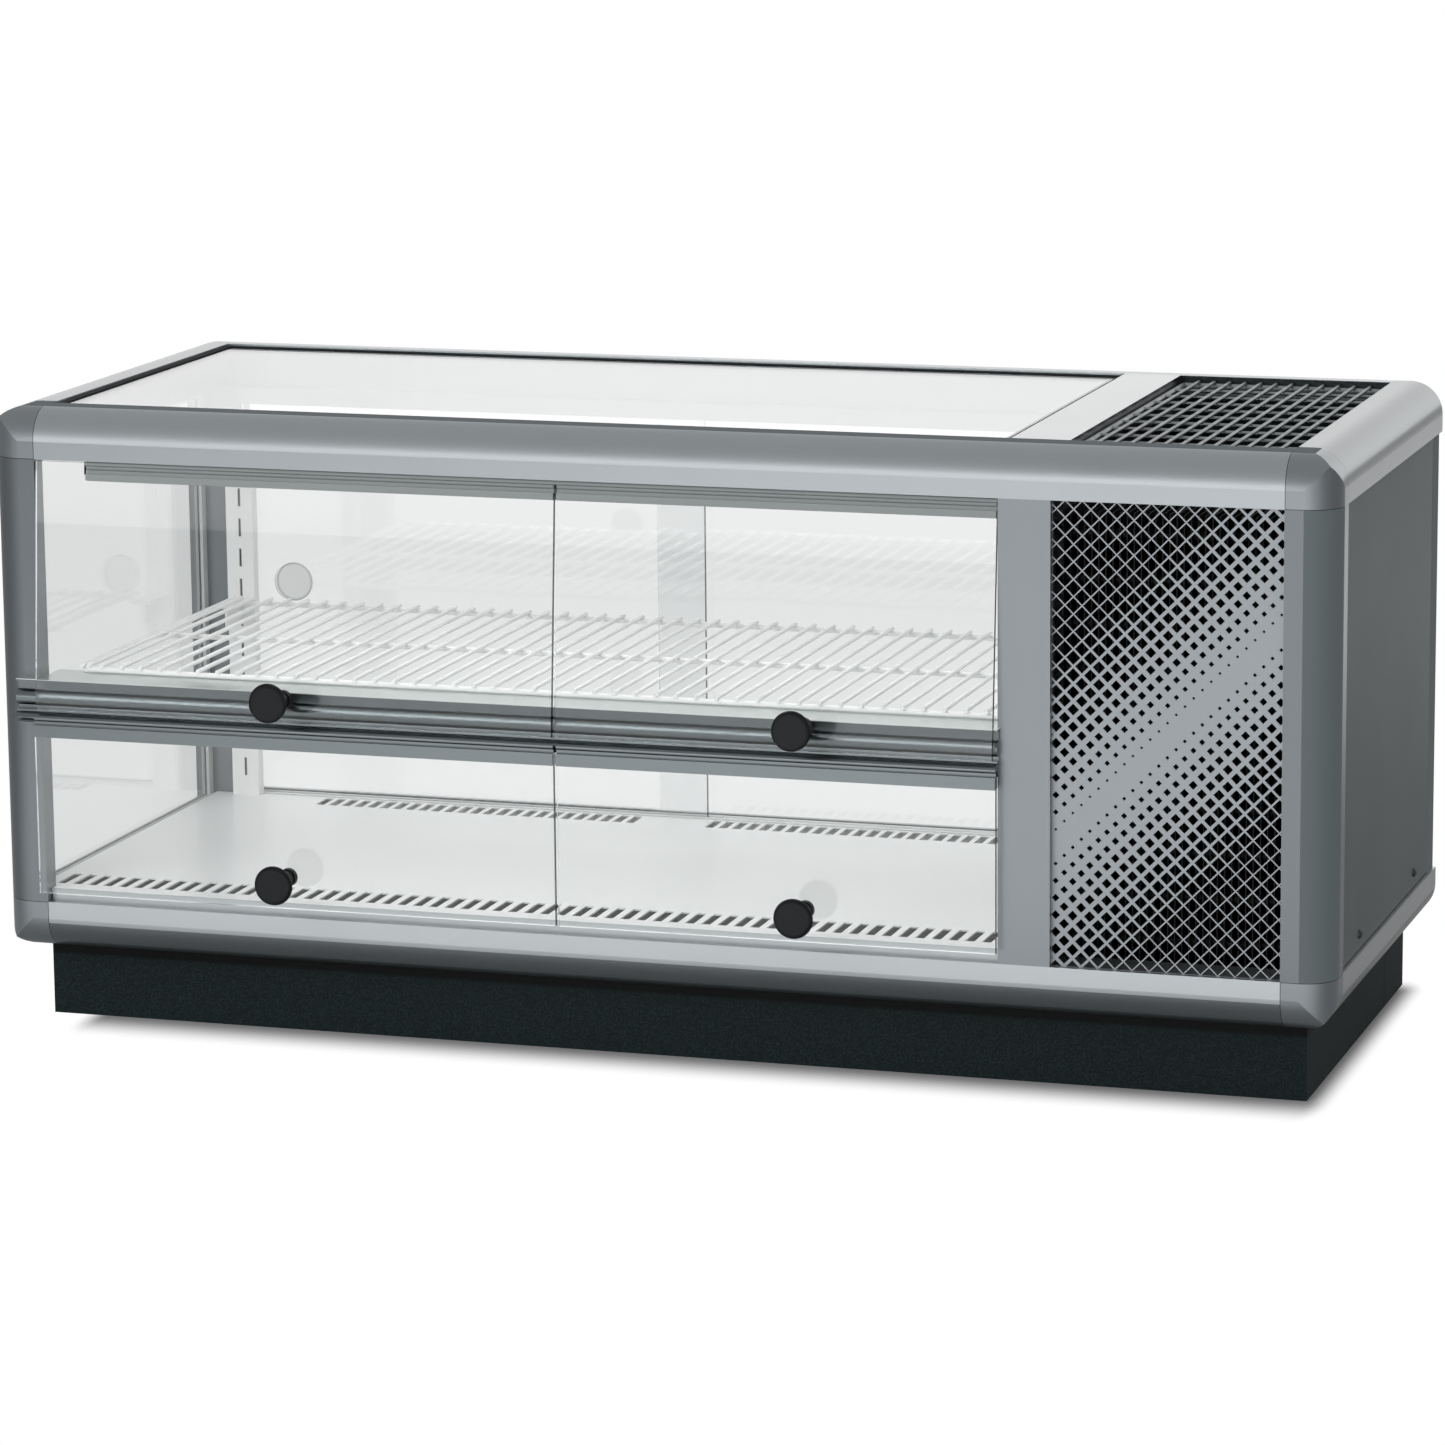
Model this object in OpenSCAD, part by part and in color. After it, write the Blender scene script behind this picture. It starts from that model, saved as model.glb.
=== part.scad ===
// Counter-top refrigerated display case, made of separate pieces.
// Lengths are in millimetres. X runs along the front, Y towards the back and Z up from the counter.

/* [Case] */
// Width across the side rails
case_w = 1250; // [1000:1:1500]
// Height above the counter
case_h = 575; // [470:1:700]
// Depth from the front flat to the back
body_d = 480; // [420:1:600]
// Height of the plinth
plinth_h = 70; // [60:1:90]
// Plinth set back from each side
plinth_side_in = 30; // [24:1:40]
// Plinth set back from the front
plinth_front_in = 42; // [30:1:45]

/* [Frame] */
// Side of the frame section
section = 46; // [42:1:56]
// Radius of the rounded outer edge
edge_r = 30; // [22:1:36]
// Wall of the extrusions
wall = 3; // [3:0.5:4]
// Depth of the door tracks at the back
track_d = 30; // [30:1:40]
// Width of the rear posts
rear_post_w = 62; // [50:1:80]
// Depth of the thin rear rail on top
rear_strip = 14; // [12:1:20]

/* [Machine end] */
// Width of the machine end with the divider
machine_w = 298; // [260:1:360]
// Width of the divider
divider_w = 47; // [40:1:60]
// Width of the plate on top between the glass and the wire grid
top_plate_w = 53; // [50:1:60]
// Thickness of the partition
partition_t = 20; // [16:1:30]

/* [Flaps] */
// Middle of the split between the flaps, from the left outer face
split_from_left = 547.5; // [400:0.5:700]
// Gap between the left and right flaps
split_gap = 3; // [2:0.5:6]
// Thickness of the flap glass
flap_glass_t = 5; // [4:0.5:6]
// Ledge of the middle rail above the bottom rail
ledge_rise = 211; // [160:1:260]
// How far the back of the closed upper flaps stands forward of the hinge at the lower edge
flap_stand = 15.48; // [15.4:0.02:20]
// Opening angle of the flaps
swing = 80; // [40:1:80]
// Knob head diameter
knob_head_d = 36; // [28:1:44]
// Knob length
knob_l = 42; // [30:1:50]

/* [Inside] */
// Top of the deck above the bottom rail
deck_rise = 12; // [8:1:20]
// Pitch of the air slots along the front
slot_pitch = 15.3; // [10:0.1:20]
// Pitch of the air slots along the back
rear_slot_pitch = 13.4; // [10:0.1:20]
// Width of an air slot
slot_w = 8.5; // [5:0.5:9]
// Length of an air slot at the front
slot_l = 40; // [20:1:44]
// Length of an air slot at the back
rear_slot_l = 30; // [20:1:30]
// Pitch of the shelf wires
shelf_pitch = 19; // [15:0.5:30]
// Diameter of the shelf wires
shelf_wire_d = 4; // [3:0.5:6]
// Diameter of the shelf cross bars
shelf_bar_d = 5; // [4:0.5:8]
// Overlap of the sliding doors
door_lap = 51; // [30:1:80]
// Thickness of the door glass
door_t = 5; // [4:0.5:6]

/* [Grilles] */
// Pitch of the diamond holes along a row
hole_pitch = 15.25; // [12:0.05:20]
// Half diagonal of the largest hole
hole_max = 6.84; // [4:0.01:7]
// Distance from the edge of the plain band to the largest holes
hole_fade = 115; // [80:1:300]
// Half width of the plain band
band_half = 4; // [0:0.5:20]
// Height of the plain band at the divider, above the bottom rail
band_rise = 106; // [60:1:200]
// Diameter of the wires of the top grid
grid_wire_d = 3.2; // [2:0.1:5]
// Openings across the top grid
grid_cells = 13; // [8:1:20]
// Rows of openings in the top grid
grid_rows = 10; // [6:1:16]

/* [Hidden] */
$fn = 64;

c_frame = "#8f9497";
c_side = "#66706f";
c_plinth = "#161d1d";
c_glass = "#cfe3dd";
c_door = "#d7e6e2";
c_rubber = "#1a1c1e";
c_knob = "#1c2226";
c_grille = "#b4b9bc";
c_white = "#f1f2f0";
c_wire = "#d9dcdd";
c_steel = "#a9adaf";
c_rail = "#a7b0ac";
c_light = "#8c9092";
c_tube = "#fbfbf4";
c_copper = "#b5714a";
c_black = "#202326";

// Fits and small steps
rest_gap = 0.3;
run_gap = 0.05;
edge_gap = 0.5;
over = 1;

// Main planes
half_w = case_w / 2;
in_x = half_w - section;
z_low = plinth_h + section;
z_high = case_h - section;
div_l = half_w - machine_w;
div_r = div_l + divider_w;
plate_r = div_l + top_plate_w;
part_l = div_l + 15;
part_r = part_l + partition_t;
back_in = body_d - track_d;
top_in = body_d - rear_strip;
post_in = -half_w + rear_post_w;
divider_t = 16;
post_t = 20;

// Glazing lip inside the top rails
lip_w = 13;
lip_t = 4;
lip_top = case_h - 12;
gasket_w = 5;
pad_t = 3;
top_glass_t = 6;
end_glass_t = 6;

// Plinth
plinth_x = half_w - plinth_side_in;
plinth_wall = 2;
plinth_lip = section - plinth_side_in + 6;
plinth_rear_l = 90;
seam_y = body_d - plinth_rear_l;

// Grooves for the front grille
grille_t = 1.2;
grille_y = 6;
groove_w = 1.6;
groove_d = 2;
tongue = 1.8;

// Hinges of the flaps
bead_r = 3;
groove_in_r = bead_r + 0.15;
groove_out_r = 5.5;
neck_t = 2.4;
neck_angle = 30;
clamp_t = 9;
clamp_drop = 6;
upper_clamp_h = 6;
lower_clamp_h = 11;
upper_grip = 5;
lower_grip = 9;
ledge_z = z_low + ledge_rise;
up_y = 4;
up_z = z_high - groove_out_r;
low_y = -9;
low_z = ledge_z - 36;
upper_edge_z = ledge_z - 27;
lean = atan((flap_stand + flap_glass_t / 2) / (up_z - upper_edge_z));
upper_drop = (up_z - upper_edge_z) / cos(lean);
lower_drop = low_z - z_low - deck_rise + 1;
split_x = split_from_left - half_w;
flap_l = -in_x + 1;
hinge_l = -half_w + 96;
ear_rise = 4;
flap_r = div_l - 1;
lower_flap_l = -in_x - 3;
lower_flap_r = div_l + 1;
knob_left_shift = -6;
knob_right_shift = 30;
upper_knob_rise = 22;
lower_knob_rise = 30;
stud_r = 3;
mid_end_l = -half_w + 25;
mid_end_r = div_l + 2;
ledge_back = section - 2;

// Shelf and deck
deck_z = z_low + deck_rise;
sheet_t = 1.5;
deck_front = 8;
deck_left = -half_w + 30;
bar_z = ledge_z + rest_gap + shelf_bar_d / 2;
wire_z = bar_z + (shelf_bar_d + shelf_wire_d) / 2 - 0.5;
shelf_l = -half_w + 74;
shelf_r = part_l - 14;
shelf_front = 32;
shelf_back = back_in - 48;
upright_t = 12;
upright_w = 28;

// Sliding doors
door_groove_w = 8;
door_wall = 4;
head_h = 16;
sill_h = 13;
head_groove = 12;
sill_groove = 8;
door_w = (part_l - post_in - 2 + door_lap) / 2;
door_bottom = z_low + sill_h - sill_groove + 0.4;
door_top = z_high - head_h + head_groove - 3.5;
inner_track_y = back_in + door_wall + door_groove_w / 2;
outer_track_y = inner_track_y + door_groove_w + door_wall;

// Base well
well_l = -plinth_x + plinth_lip + 2;
well_wall = 16;
well_bottom = 10;
well_floor = well_bottom + 14;
well_y = plinth_front_in + plinth_lip + 2;
cave_l = well_l + well_wall;
cave_r = part_l - 4;
cave_front = well_y + well_wall;
cave_back = back_in - well_wall;

// Machine end
tray_z = plinth_h + 2;
bay_mid = (part_r + in_x) / 2;
cond_w = in_x - part_r - 20;
cond_l = bay_mid - cond_w / 2;
cond_front = section + 6;
cond_d = 50;
cond_h = z_high - tray_z - 17;
cond_rows = 11;
fan_z = tray_z + 190;
fan_r = 86;
shroud_y = cond_front + cond_d;
motor_y = shroud_y + 44;
panel_y = body_d - 16;
control_z = z_low + 60;
control_x = part_r + 70;
dial_x = control_x + 50;
gland_x = control_x + 96;

// Knobs reach furthest forward, and the whole case is centred on its own depth
knob_head_t = 8.4;
knob_rim_r = knob_head_t / 2;
reach = (upper_drop - upper_knob_rise + knob_head_d / 2 - knob_rim_r) * sin(lean)
    + (flap_glass_t / 2 + knob_l - knob_rim_r) * cos(lean) + knob_rim_r - up_y;
shift_y = (reach - body_d) / 2;

// Placing and extruding
module place() translate([0, shift_y, 0]) children();

module along_x(length) rotate([90, 0, 90]) linear_extrude(length) children();

module along_y(length) translate([0, length, 0]) rotate([90, 0, 0]) linear_extrude(length) children();

module box(low, high) translate(low) cube(high - low);

// Frame section with its rounded edge at the origin
module rounded_square(side, r) {
    difference() {
        square(side);
        difference() {
            translate([-over, -over]) square(r + over);
            translate([r, r]) circle(r);
        }
    }
}

module section_core() translate([wall, wall]) rounded_square(section - 2 * wall, edge_r - wall);

module section_tube() {
    difference() {
        rounded_square(section, edge_r);
        section_core();
    }
}

// Rails and posts
module front_top_rail() color(c_frame) place() {
    difference() {
        union() {
            translate([-in_x, 0, 0]) along_x(2 * in_x)
                translate([0, case_h]) mirror([0, 1]) section_tube();
            box([-in_x + lip_w, section - wall, lip_top - lip_t], [in_x - lip_w, section + lip_w, lip_top]);
        }
        box([div_r, grille_y, z_high - over], [in_x + over, grille_y + groove_w, z_high + groove_d]);
    }
}

module front_bottom_rail() color(c_frame) place() {
    difference() {
        translate([-in_x, 0, 0]) along_x(2 * in_x) translate([0, plinth_h]) section_tube();
        box([div_r, grille_y, z_low - groove_d], [in_x + over, grille_y + groove_w, z_low + over]);
    }
}

// Side rail towards the back, with a closed rear end
module side_rail(z, upside) {
    difference() {
        translate([0, section, 0]) along_y(body_d - section)
            translate([-half_w, z]) mirror([0, upside]) rounded_square(section, edge_r);
        translate([0, section - over, 0]) along_y(body_d - section - wall + over)
            translate([-half_w, z]) mirror([0, upside]) section_core();
    }
}

module side_top_rail() {
    side_rail(case_h, 1);
    box([-in_x - wall, section + lip_w, lip_top - lip_t], [-in_x + lip_w, top_in - lip_w, lip_top]);
}

module left_top_rail() color(c_frame) place() side_top_rail();

module right_top_rail() color(c_frame) place() mirror([1, 0, 0]) side_top_rail();

module side_bottom_rails() color(c_frame) place() {
    side_rail(plinth_h, 0);
    mirror([1, 0, 0]) side_rail(plinth_h, 0);
}

// Left post of the glazed bay, with the inner quarter of the section left open
module corner_profile(inset) {
    difference() {
        translate([inset, inset]) rounded_square(section - 2 * inset, edge_r - inset);
        translate([post_t - inset, post_t - inset]) square(section);
    }
}

module left_front_post() color(c_frame) place() {
    translate([-half_w, 0, z_low]) linear_extrude(z_high - z_low) difference() {
        corner_profile(0);
        corner_profile(wall);
    }
}

module right_front_post() color(c_frame) place() {
    difference() {
        translate([half_w, 0, z_low]) linear_extrude(z_high - z_low) mirror([1, 0]) section_tube();
        box([in_x - over, grille_y, z_low - over], [in_x + groove_d, grille_y + groove_w, z_high + over]);
    }
}

// Cast corner with a spigot into each rail, and one or two into the post
module corner_block(open_post) {
    spigot = 24;
    arm_l = section - wall - rest_gap - edge_r;
    arm_t = post_t - 2 * wall - 2 * rest_gap;
    spigot_l = 18;
    at = section - wall - rest_gap - spigot;
    intersection() {
        along_x(section) rounded_square(section, edge_r);
        along_y(section) rounded_square(section, edge_r);
        linear_extrude(section) rounded_square(section, edge_r);
    }
    translate([section - over, at, at]) cube([spigot_l + over, spigot, spigot]);
    translate([at, section - over, at]) cube([spigot, spigot_l + over, spigot]);
    if (open_post) {
        translate([edge_r, wall + rest_gap, section - over]) cube([arm_l, arm_t, spigot_l + over]);
        translate([wall + rest_gap, edge_r, section - over]) cube([arm_t, arm_l, spigot_l + over]);
    } else {
        translate([at, at, section - over]) cube([spigot, spigot, spigot_l + over]);
    }
}

module corner_castings() color(c_frame) place() {
    for (side = [0, 1]) {
        mirror([side, 0, 0]) translate([-half_w, 0, plinth_h]) corner_block(side == 0);
        mirror([side, 0, 0]) translate([-half_w, 0, case_h]) mirror([0, 0, 1]) corner_block(side == 0);
    }
}

// Two grooves of the sliding doors, cut from one face of a track
module door_grooves(z, depth) {
    for (y = [inner_track_y, outer_track_y]) {
        box([post_in - over, y - door_groove_w / 2, z], [part_l + over, y + door_groove_w / 2, z + depth]);
    }
}

module rear_top_rail() color(c_frame) place() {
    difference() {
        union() {
            box([-in_x, top_in, z_high], [in_x, body_d, case_h]);
            box([post_in, back_in, z_high - head_h], [part_l, body_d, z_high]);
            box([-in_x + lip_w, top_in - lip_w, lip_top - lip_t], [in_x - lip_w, top_in + wall, lip_top]);
        }
        box([-in_x - over, top_in + wall, z_high + wall], [in_x + over, body_d - wall, case_h - wall]);
        door_grooves(z_high - head_h - over, head_groove + over);
    }
}

module rear_bottom_rail() color(c_frame) place() {
    difference() {
        union() {
            box([-in_x, back_in, plinth_h], [in_x, body_d, z_low]);
            box([post_in, back_in, z_low], [part_l, body_d, z_low + sill_h]);
        }
        box([-in_x - over, back_in + wall, plinth_h + wall], [in_x + over, body_d - wall, z_low - wall]);
        door_grooves(z_low + sill_h - sill_groove, sill_groove + over);
    }
}

module rear_post() {
    difference() {
        box([-half_w + wall, back_in, z_low], [post_in, body_d, z_high]);
        box([-half_w + 2 * wall, back_in + wall, z_low - over], [post_in - wall, body_d - wall, z_high + over]);
    }
}

module rear_posts() color(c_frame) place() {
    rear_post();
    mirror([1, 0, 0]) rear_post();
}

module divider() color(c_frame) place() {
    difference() {
        box([div_l, 0, z_low], [div_r, divider_t, z_high]);
        box([div_l + wall, wall, z_low - over], [div_r - wall, divider_t - wall, z_high + over]);
        box([div_r - groove_d, grille_y, z_low - over], [div_r + over, grille_y + groove_w, z_high + over]);
    }
}

// Plinth
module plinth_band(width, front, back, open_front) {
    inner_low = open_front ? front - over : front + width;
    inner_high = open_front ? back - width : back + over;
    difference() {
        translate([-plinth_x, front]) square([2 * plinth_x, back - front]);
        translate([-plinth_x + width, inner_low]) square([2 * (plinth_x - width), inner_high - inner_low]);
    }
}

module plinth_shell(front, back, open_front) {
    linear_extrude(plinth_h) plinth_band(plinth_wall, front, back, open_front);
    linear_extrude(plinth_wall) plinth_band(plinth_lip, front, back, open_front);
    translate([0, 0, plinth_h - plinth_wall]) linear_extrude(plinth_wall)
        plinth_band(plinth_lip, front, back, open_front);
}

module plinth_front() color(c_plinth) place() plinth_shell(plinth_front_in, seam_y, false);

module plinth_rear() color(c_plinth) place() plinth_shell(seam_y, body_d, true);

// Insulated well under the deck
module base_well() color(c_white) place() {
    difference() {
        union() {
            box([-in_x, section, plinth_h], [part_r, back_in, z_low]);
            box([well_l, well_y, well_bottom], [part_r - 2, back_in - 2, plinth_h]);
        }
        box([cave_l, cave_front, well_floor], [cave_r, cave_back, z_low + over]);
        for (y = [suction_y, liquid_y]) {
            translate([cave_r - over, y, line_z]) along_x(part_r - cave_r + 2 * over) circle(r = line_hole_r);
        }
    }
}

module machine_tray() color(c_steel) place() {
    flange = line_z - tray_z;
    difference() {
        box([part_r, section, plinth_h], [in_x, back_in, tray_z + flange]);
        box([part_r + 2, section + 2, tray_z], [in_x - 2, back_in - 2, tray_z + flange + over]);
        for (y = [suction_y, liquid_y]) {
            box(
                [part_r - over, y - line_hole_r, line_z - line_hole_r],
                [part_r + 2 + over, y + line_hole_r, tray_z + flange + over]
            );
        }
    }
}

// Front grille with diamond holes that shrink to nothing along a slanted band.
// The open area of a hole grows evenly with the distance from the band.
// The sheet is a stack of level strips that meet along the middle lines of the rows of holes.
edge_web = 0.2;
hole_left = div_r + edge_web;
hole_right = in_x - edge_web;
hole_low = z_low + edge_web;
hole_high = z_high - edge_web;
hole_least = 0.5;
hole_rows = round(2 * (hole_high - hole_low) / hole_pitch);
row_step = (hole_high - hole_low) / hole_rows;
hole_columns = ceil((hole_right - hole_left) / hole_pitch);
hole_x0 = div_r + 3.8;

function row_z(row) = hole_low + row * row_step;

function band_distance(x, z) = abs((z - z_low - band_rise) - (x - div_r)) / sqrt(2);

function hole_size(x, z) = hole_max * sqrt(min(1, max(0, band_distance(x, z) - band_half) / hole_fade));

// One half of a hole, above or below its middle line, kept between the side edges
function half_hole(x, z, d, up) =
    let (
        left = max(x - d, hole_left),
        right = min(x + d, hole_right),
        left_rise = left > x - d ? [[left, z + up * (d - abs(x - left))]] : [],
        right_rise = right < x + d ? [[right, z + up * (d - abs(x - right))]] : [],
        tip = x > left && x < right ? [[x, z + up * d]] : []
    )
    concat([[left, z]], left_rise, tip, right_rise, [[right, z]]);

function row_outline(row, up) = [
    for (column = [-1 : hole_columns])
        let (
            z = row_z(row),
            x = hole_x0 + (column + (row % 2) / 2) * hole_pitch,
            d = hole_size(x, z)
        )
        if (d > hole_least && x + d > hole_left + hole_least && x - d < hole_right - hole_least)
            each half_hole(x, z, d, up)
];

function backwards(points) = [for (i = [len(points) - 1 : -1 : 0]) points[i]];

module grille_strip(row) {
    left = div_r - tongue;
    right = in_x + tongue;
    low = row_z(row);
    high = row_z(row + 1);
    polygon(concat(
        [[left, low]], row_outline(row, 1), [[right, low]],
        [[right, high]], backwards(row_outline(row + 1, -1)), [[left, high]]
    ));
}

module front_grille() color(c_grille) place() {
    translate([0, grille_y + 0.2, 0]) along_y(grille_t) {
        translate([div_r, z_low - tongue]) square([in_x - div_r, tongue + edge_web]);
        translate([div_r, hole_high]) square([in_x - div_r, tongue + edge_web]);
        for (row = [0 : hole_rows - 1]) grille_strip(row);
    }
}

// Wire grid in the top of the machine end
module top_grid() color(c_wire) place() {
    border_d = 6;
    left = plate_r + 4;
    right = in_x - 4;
    front = section + 4;
    back = top_in - 4;
    border_z = lip_top + border_d / 2;
    long_z = border_z + (border_d + grid_wire_d) / 2 - 0.5;
    cross_z = long_z - grid_wire_d + 0.4;
    for (y = [front, back]) {
        translate([left, y, border_z]) rotate([0, 90, 0]) cylinder(h = right - left, d = border_d);
    }
    for (x = [left, right]) {
        translate([x, front, border_z]) rotate([-90, 0, 0]) cylinder(h = back - front, d = border_d);
        for (y = [front, back]) translate([x, y, border_z]) sphere(d = border_d);
    }
    for (i = [1 : grid_cells - 1]) {
        x = left + (right - left) * i / grid_cells;
        translate([x, front, long_z]) rotate([-90, 0, 0]) cylinder(h = back - front, d = grid_wire_d);
    }
    for (i = [1 : grid_rows - 1]) {
        y = front + (back - front) * i / grid_rows;
        translate([left, y, cross_z]) rotate([0, 90, 0]) cylinder(h = right - left, d = grid_wire_d);
    }
}

module top_plate() color(c_frame) place() {
    plate_t = 2;
    foot_w = 11;
    box([div_l, section, case_h - plate_t], [plate_r, top_in, case_h]);
    box([div_l, section, lip_top], [div_l + plate_t, top_in, case_h]);
    box([plate_r - plate_t, section, lip_top], [plate_r, top_in, case_h]);
    box([div_l - foot_w, section, lip_top], [div_l + plate_t, top_in, lip_top + plate_t]);
}

// Glazing
module top_glass() color(c_glass) place() {
    box(
        [-in_x + gasket_w, section + gasket_w, lip_top + pad_t],
        [div_l - gasket_w, top_in - gasket_w, lip_top + pad_t + top_glass_t]
    );
}

module left_end_glass() color(c_glass) place() {
    glass_x = -half_w + 16;
    box(
        [glass_x, section + gasket_w, z_low + gasket_w],
        [glass_x + end_glass_t, back_in - gasket_w, z_high - gasket_w]
    );
}

module glazing_gaskets() color(c_rubber) place() {
    pad_w = 11;
    cheek = 3;
    bite = 5;
    glass_x = -half_w + 16;
    difference() {
        box([-in_x, section, lip_top], [div_l, top_in, case_h - 2]);
        box(
            [-in_x + gasket_w, section + gasket_w, lip_top + pad_t],
            [div_l - gasket_w, top_in - gasket_w, case_h]
        );
        box([-in_x + pad_w, section + pad_w, lip_top - over], [div_l - pad_w, top_in - pad_w, case_h]);
        box([div_l - pad_w, section - over, lip_top - over], [div_l + over, top_in + over, lip_top + 2]);
    }
    difference() {
        box([glass_x - cheek, section, z_low], [glass_x + end_glass_t + cheek, back_in, z_high]);
        box(
            [glass_x, section + gasket_w, z_low + gasket_w],
            [glass_x + end_glass_t, back_in - gasket_w, z_high - gasket_w]
        );
        box(
            [glass_x - cheek - over, section + gasket_w + bite, z_low + gasket_w + bite],
            [glass_x + end_glass_t + cheek + over, back_in - gasket_w - bite, z_high - gasket_w - bite]
        );
    }
}

// Sheet covers of the machine end
module right_side_panel() color(c_side) place() {
    panel_t = 2;
    return_d = 18;
    outer = half_w - 3;
    difference() {
        box([outer - return_d, section + edge_gap, z_low + edge_gap], [outer, back_in - edge_gap, z_high - edge_gap]);
        box(
            [outer - return_d - over, section + edge_gap + panel_t, z_low + edge_gap + panel_t],
            [outer - panel_t, back_in - edge_gap - panel_t, z_high - edge_gap - panel_t]
        );
    }
}

module rear_louvre_panel() color(c_frame) place() {
    left = part_r + edge_gap;
    right = -post_in - edge_gap;
    low = z_low + edge_gap;
    high = z_high - edge_gap;
    return_d = 12;
    slot_h = 7;
    margin = 26;
    slot_z0 = control_z + 60;
    slot_count = floor((high - margin - slot_z0) / 20) + 1;
    difference() {
        union() {
            difference() {
                box([left, panel_y - return_d, low], [right, panel_y + sheet_t, high]);
                box(
                    [left + sheet_t, panel_y - return_d - over, low + sheet_t],
                    [right - sheet_t, panel_y, high - sheet_t]
                );
            }
            for (i = [0 : slot_count - 1]) {
                translate([left + margin, panel_y, slot_z0 + i * 20 + slot_h])
                    along_x(right - left - 2 * margin)
                    polygon([[0, 0], [0, 1.6], [6, -5], [6, -6.6]]);
            }
        }
        for (i = [0 : slot_count - 1]) {
            box(
                [left + margin + 1, panel_y - over, slot_z0 + i * 20],
                [right - margin - 1, panel_y + sheet_t - 0.4, slot_z0 + i * 20 + slot_h]
            );
            box(
                [left + margin + 1, panel_y + sheet_t - 0.5, slot_z0 + i * 20],
                [right - margin - 1, panel_y + sheet_t + 0.01, slot_z0 + i * 20 + slot_h - 2.6]
            );
        }
        box(
            [control_x - 10, panel_y - over, control_z - 14.5],
            [control_x + 10, panel_y + 2 * over + sheet_t, control_z + 14.5]
        );
        translate([dial_x, panel_y - over, control_z]) along_y(sheet_t + 2 * over) circle(r = 5);
        translate([gland_x, panel_y - over, control_z]) along_y(sheet_t + 2 * over) circle(r = 8.2);
    }
}

module partition() color(c_white) place() {
    box([part_l, divider_t, z_low], [part_r, body_d, z_high]);
    box([part_l, section + lip_w, z_high - over], [part_r, top_in - lip_w, lip_top]);
}

// Groove that holds the round bead of a flap, seen along X
module bead_groove(rest_angle) {
    open_from = rest_angle - swing - neck_angle;
    open_to = rest_angle + neck_angle;
    open_step = (open_to - open_from) / 4;
    difference() {
        circle(r = groove_out_r);
        circle(r = groove_in_r);
        polygon(concat(
            [[0, 0]],
            [for (i = [0 : 4]) 3 * groove_out_r * [cos(open_from + i * open_step), sin(open_from + i * open_step)]]
        ));
    }
}

module upper_hinge_strip() color(c_frame) place() {
    translate([hinge_l, 0, 0]) along_x(div_l - hinge_l) {
        translate([up_y, up_z]) bead_groove(270 - lean);
        translate([up_y, z_high - 2]) square([22, 2]);
    }
}

// Middle rail: ledge, rounded moulding, rib and the groove of the lower flaps
module mid_rail() color(c_rail) place() {
    web_t = 3;
    ledge_t = 2;
    nose = 8.9;
    moulding_r = 7.5;
    moulding_z = ledge_z - 17.5;
    translate([mid_end_l, 0, 0]) along_x(mid_end_r - mid_end_l) {
        translate([-web_t, low_z - 7]) square([web_t, ledge_z - low_z + 7]);
        translate([-nose, ledge_z - ledge_t]) square([nose, ledge_t]);
        intersection() {
            translate([moulding_r - 10.2, moulding_z]) circle(r = moulding_r);
            translate([-20, moulding_z - 10]) square([19, 20]);
        }
        translate([-8, low_z + 6]) square([8 - web_t + 0.5, 1.6]);
        translate([low_y, low_z]) bead_groove(270);
        translate([low_y + groove_in_r + 0.6, low_z - 1.5]) square([3, 6]);
    }
    box([-in_x, -0.5, ledge_z - ledge_t], [div_l, ledge_back, ledge_z]);
    box([-in_x, ledge_back - ledge_t, ledge_z - 10], [div_l, ledge_back, ledge_z]);
}

// One flap, hanging from its bead at the origin
module flap_bar(left, right, clamp_h, grip) {
    translate([left, 0, 0]) along_x(right - left) {
        circle(r = bead_r);
        translate([-neck_t / 2, -clamp_drop - 0.5]) square([neck_t, clamp_drop]);
        difference() {
            translate([-clamp_t / 2, -clamp_drop - clamp_h]) square([clamp_t, clamp_h]);
            translate([-flap_glass_t / 2, -clamp_drop - clamp_h - over]) square([flap_glass_t, grip + over]);
        }
    }
}

module flap_glass(left, right, top, drop, knob_x, knob_rise) {
    difference() {
        box([left, -flap_glass_t / 2, -drop], [right, flap_glass_t / 2, -top]);
        translate([knob_x, -flap_glass_t, knob_rise - drop]) along_y(2 * flap_glass_t) circle(r = stud_r + 0.2);
    }
}

module flap_knob(drop, knob_x, knob_rise) {
    stem_r = 7.2;
    collar_r = 8.4;
    collar_h = 6;
    flat_r = knob_head_d / 2 - knob_rim_r;
    translate([knob_x, -flap_glass_t / 2, knob_rise - drop]) rotate([90, 0, 0]) rotate_extrude() {
        translate([0, -flap_glass_t]) square([stud_r, flap_glass_t + over]);
        square([collar_r, collar_h]);
        square([stem_r, knob_l - over]);
        translate([0, knob_l - knob_head_t]) square([flat_r, knob_head_t]);
        translate([flat_r, knob_l - knob_rim_r]) circle(r = knob_rim_r);
    }
}

module hang_upper() place() translate([0, up_y, up_z]) rotate([-lean, 0, 0]) children();

module hang_lower() place() translate([0, low_y, low_z]) children();

upper_top = clamp_drop + upper_clamp_h - upper_grip;
lower_top = clamp_drop + lower_clamp_h - lower_grip;
split_l = split_x - split_gap / 2;
split_r = split_x + split_gap / 2;
knob_left_x = (flap_l + split_l) / 2 + knob_left_shift;
knob_right_x = (split_r + flap_r) / 2 + knob_right_shift;

module upper_left_hinge() color(c_frame) hang_upper() flap_bar(hinge_l + 1, split_l, upper_clamp_h, upper_grip);

module upper_right_hinge() color(c_frame) hang_upper() flap_bar(split_r, flap_r, upper_clamp_h, upper_grip);

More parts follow.
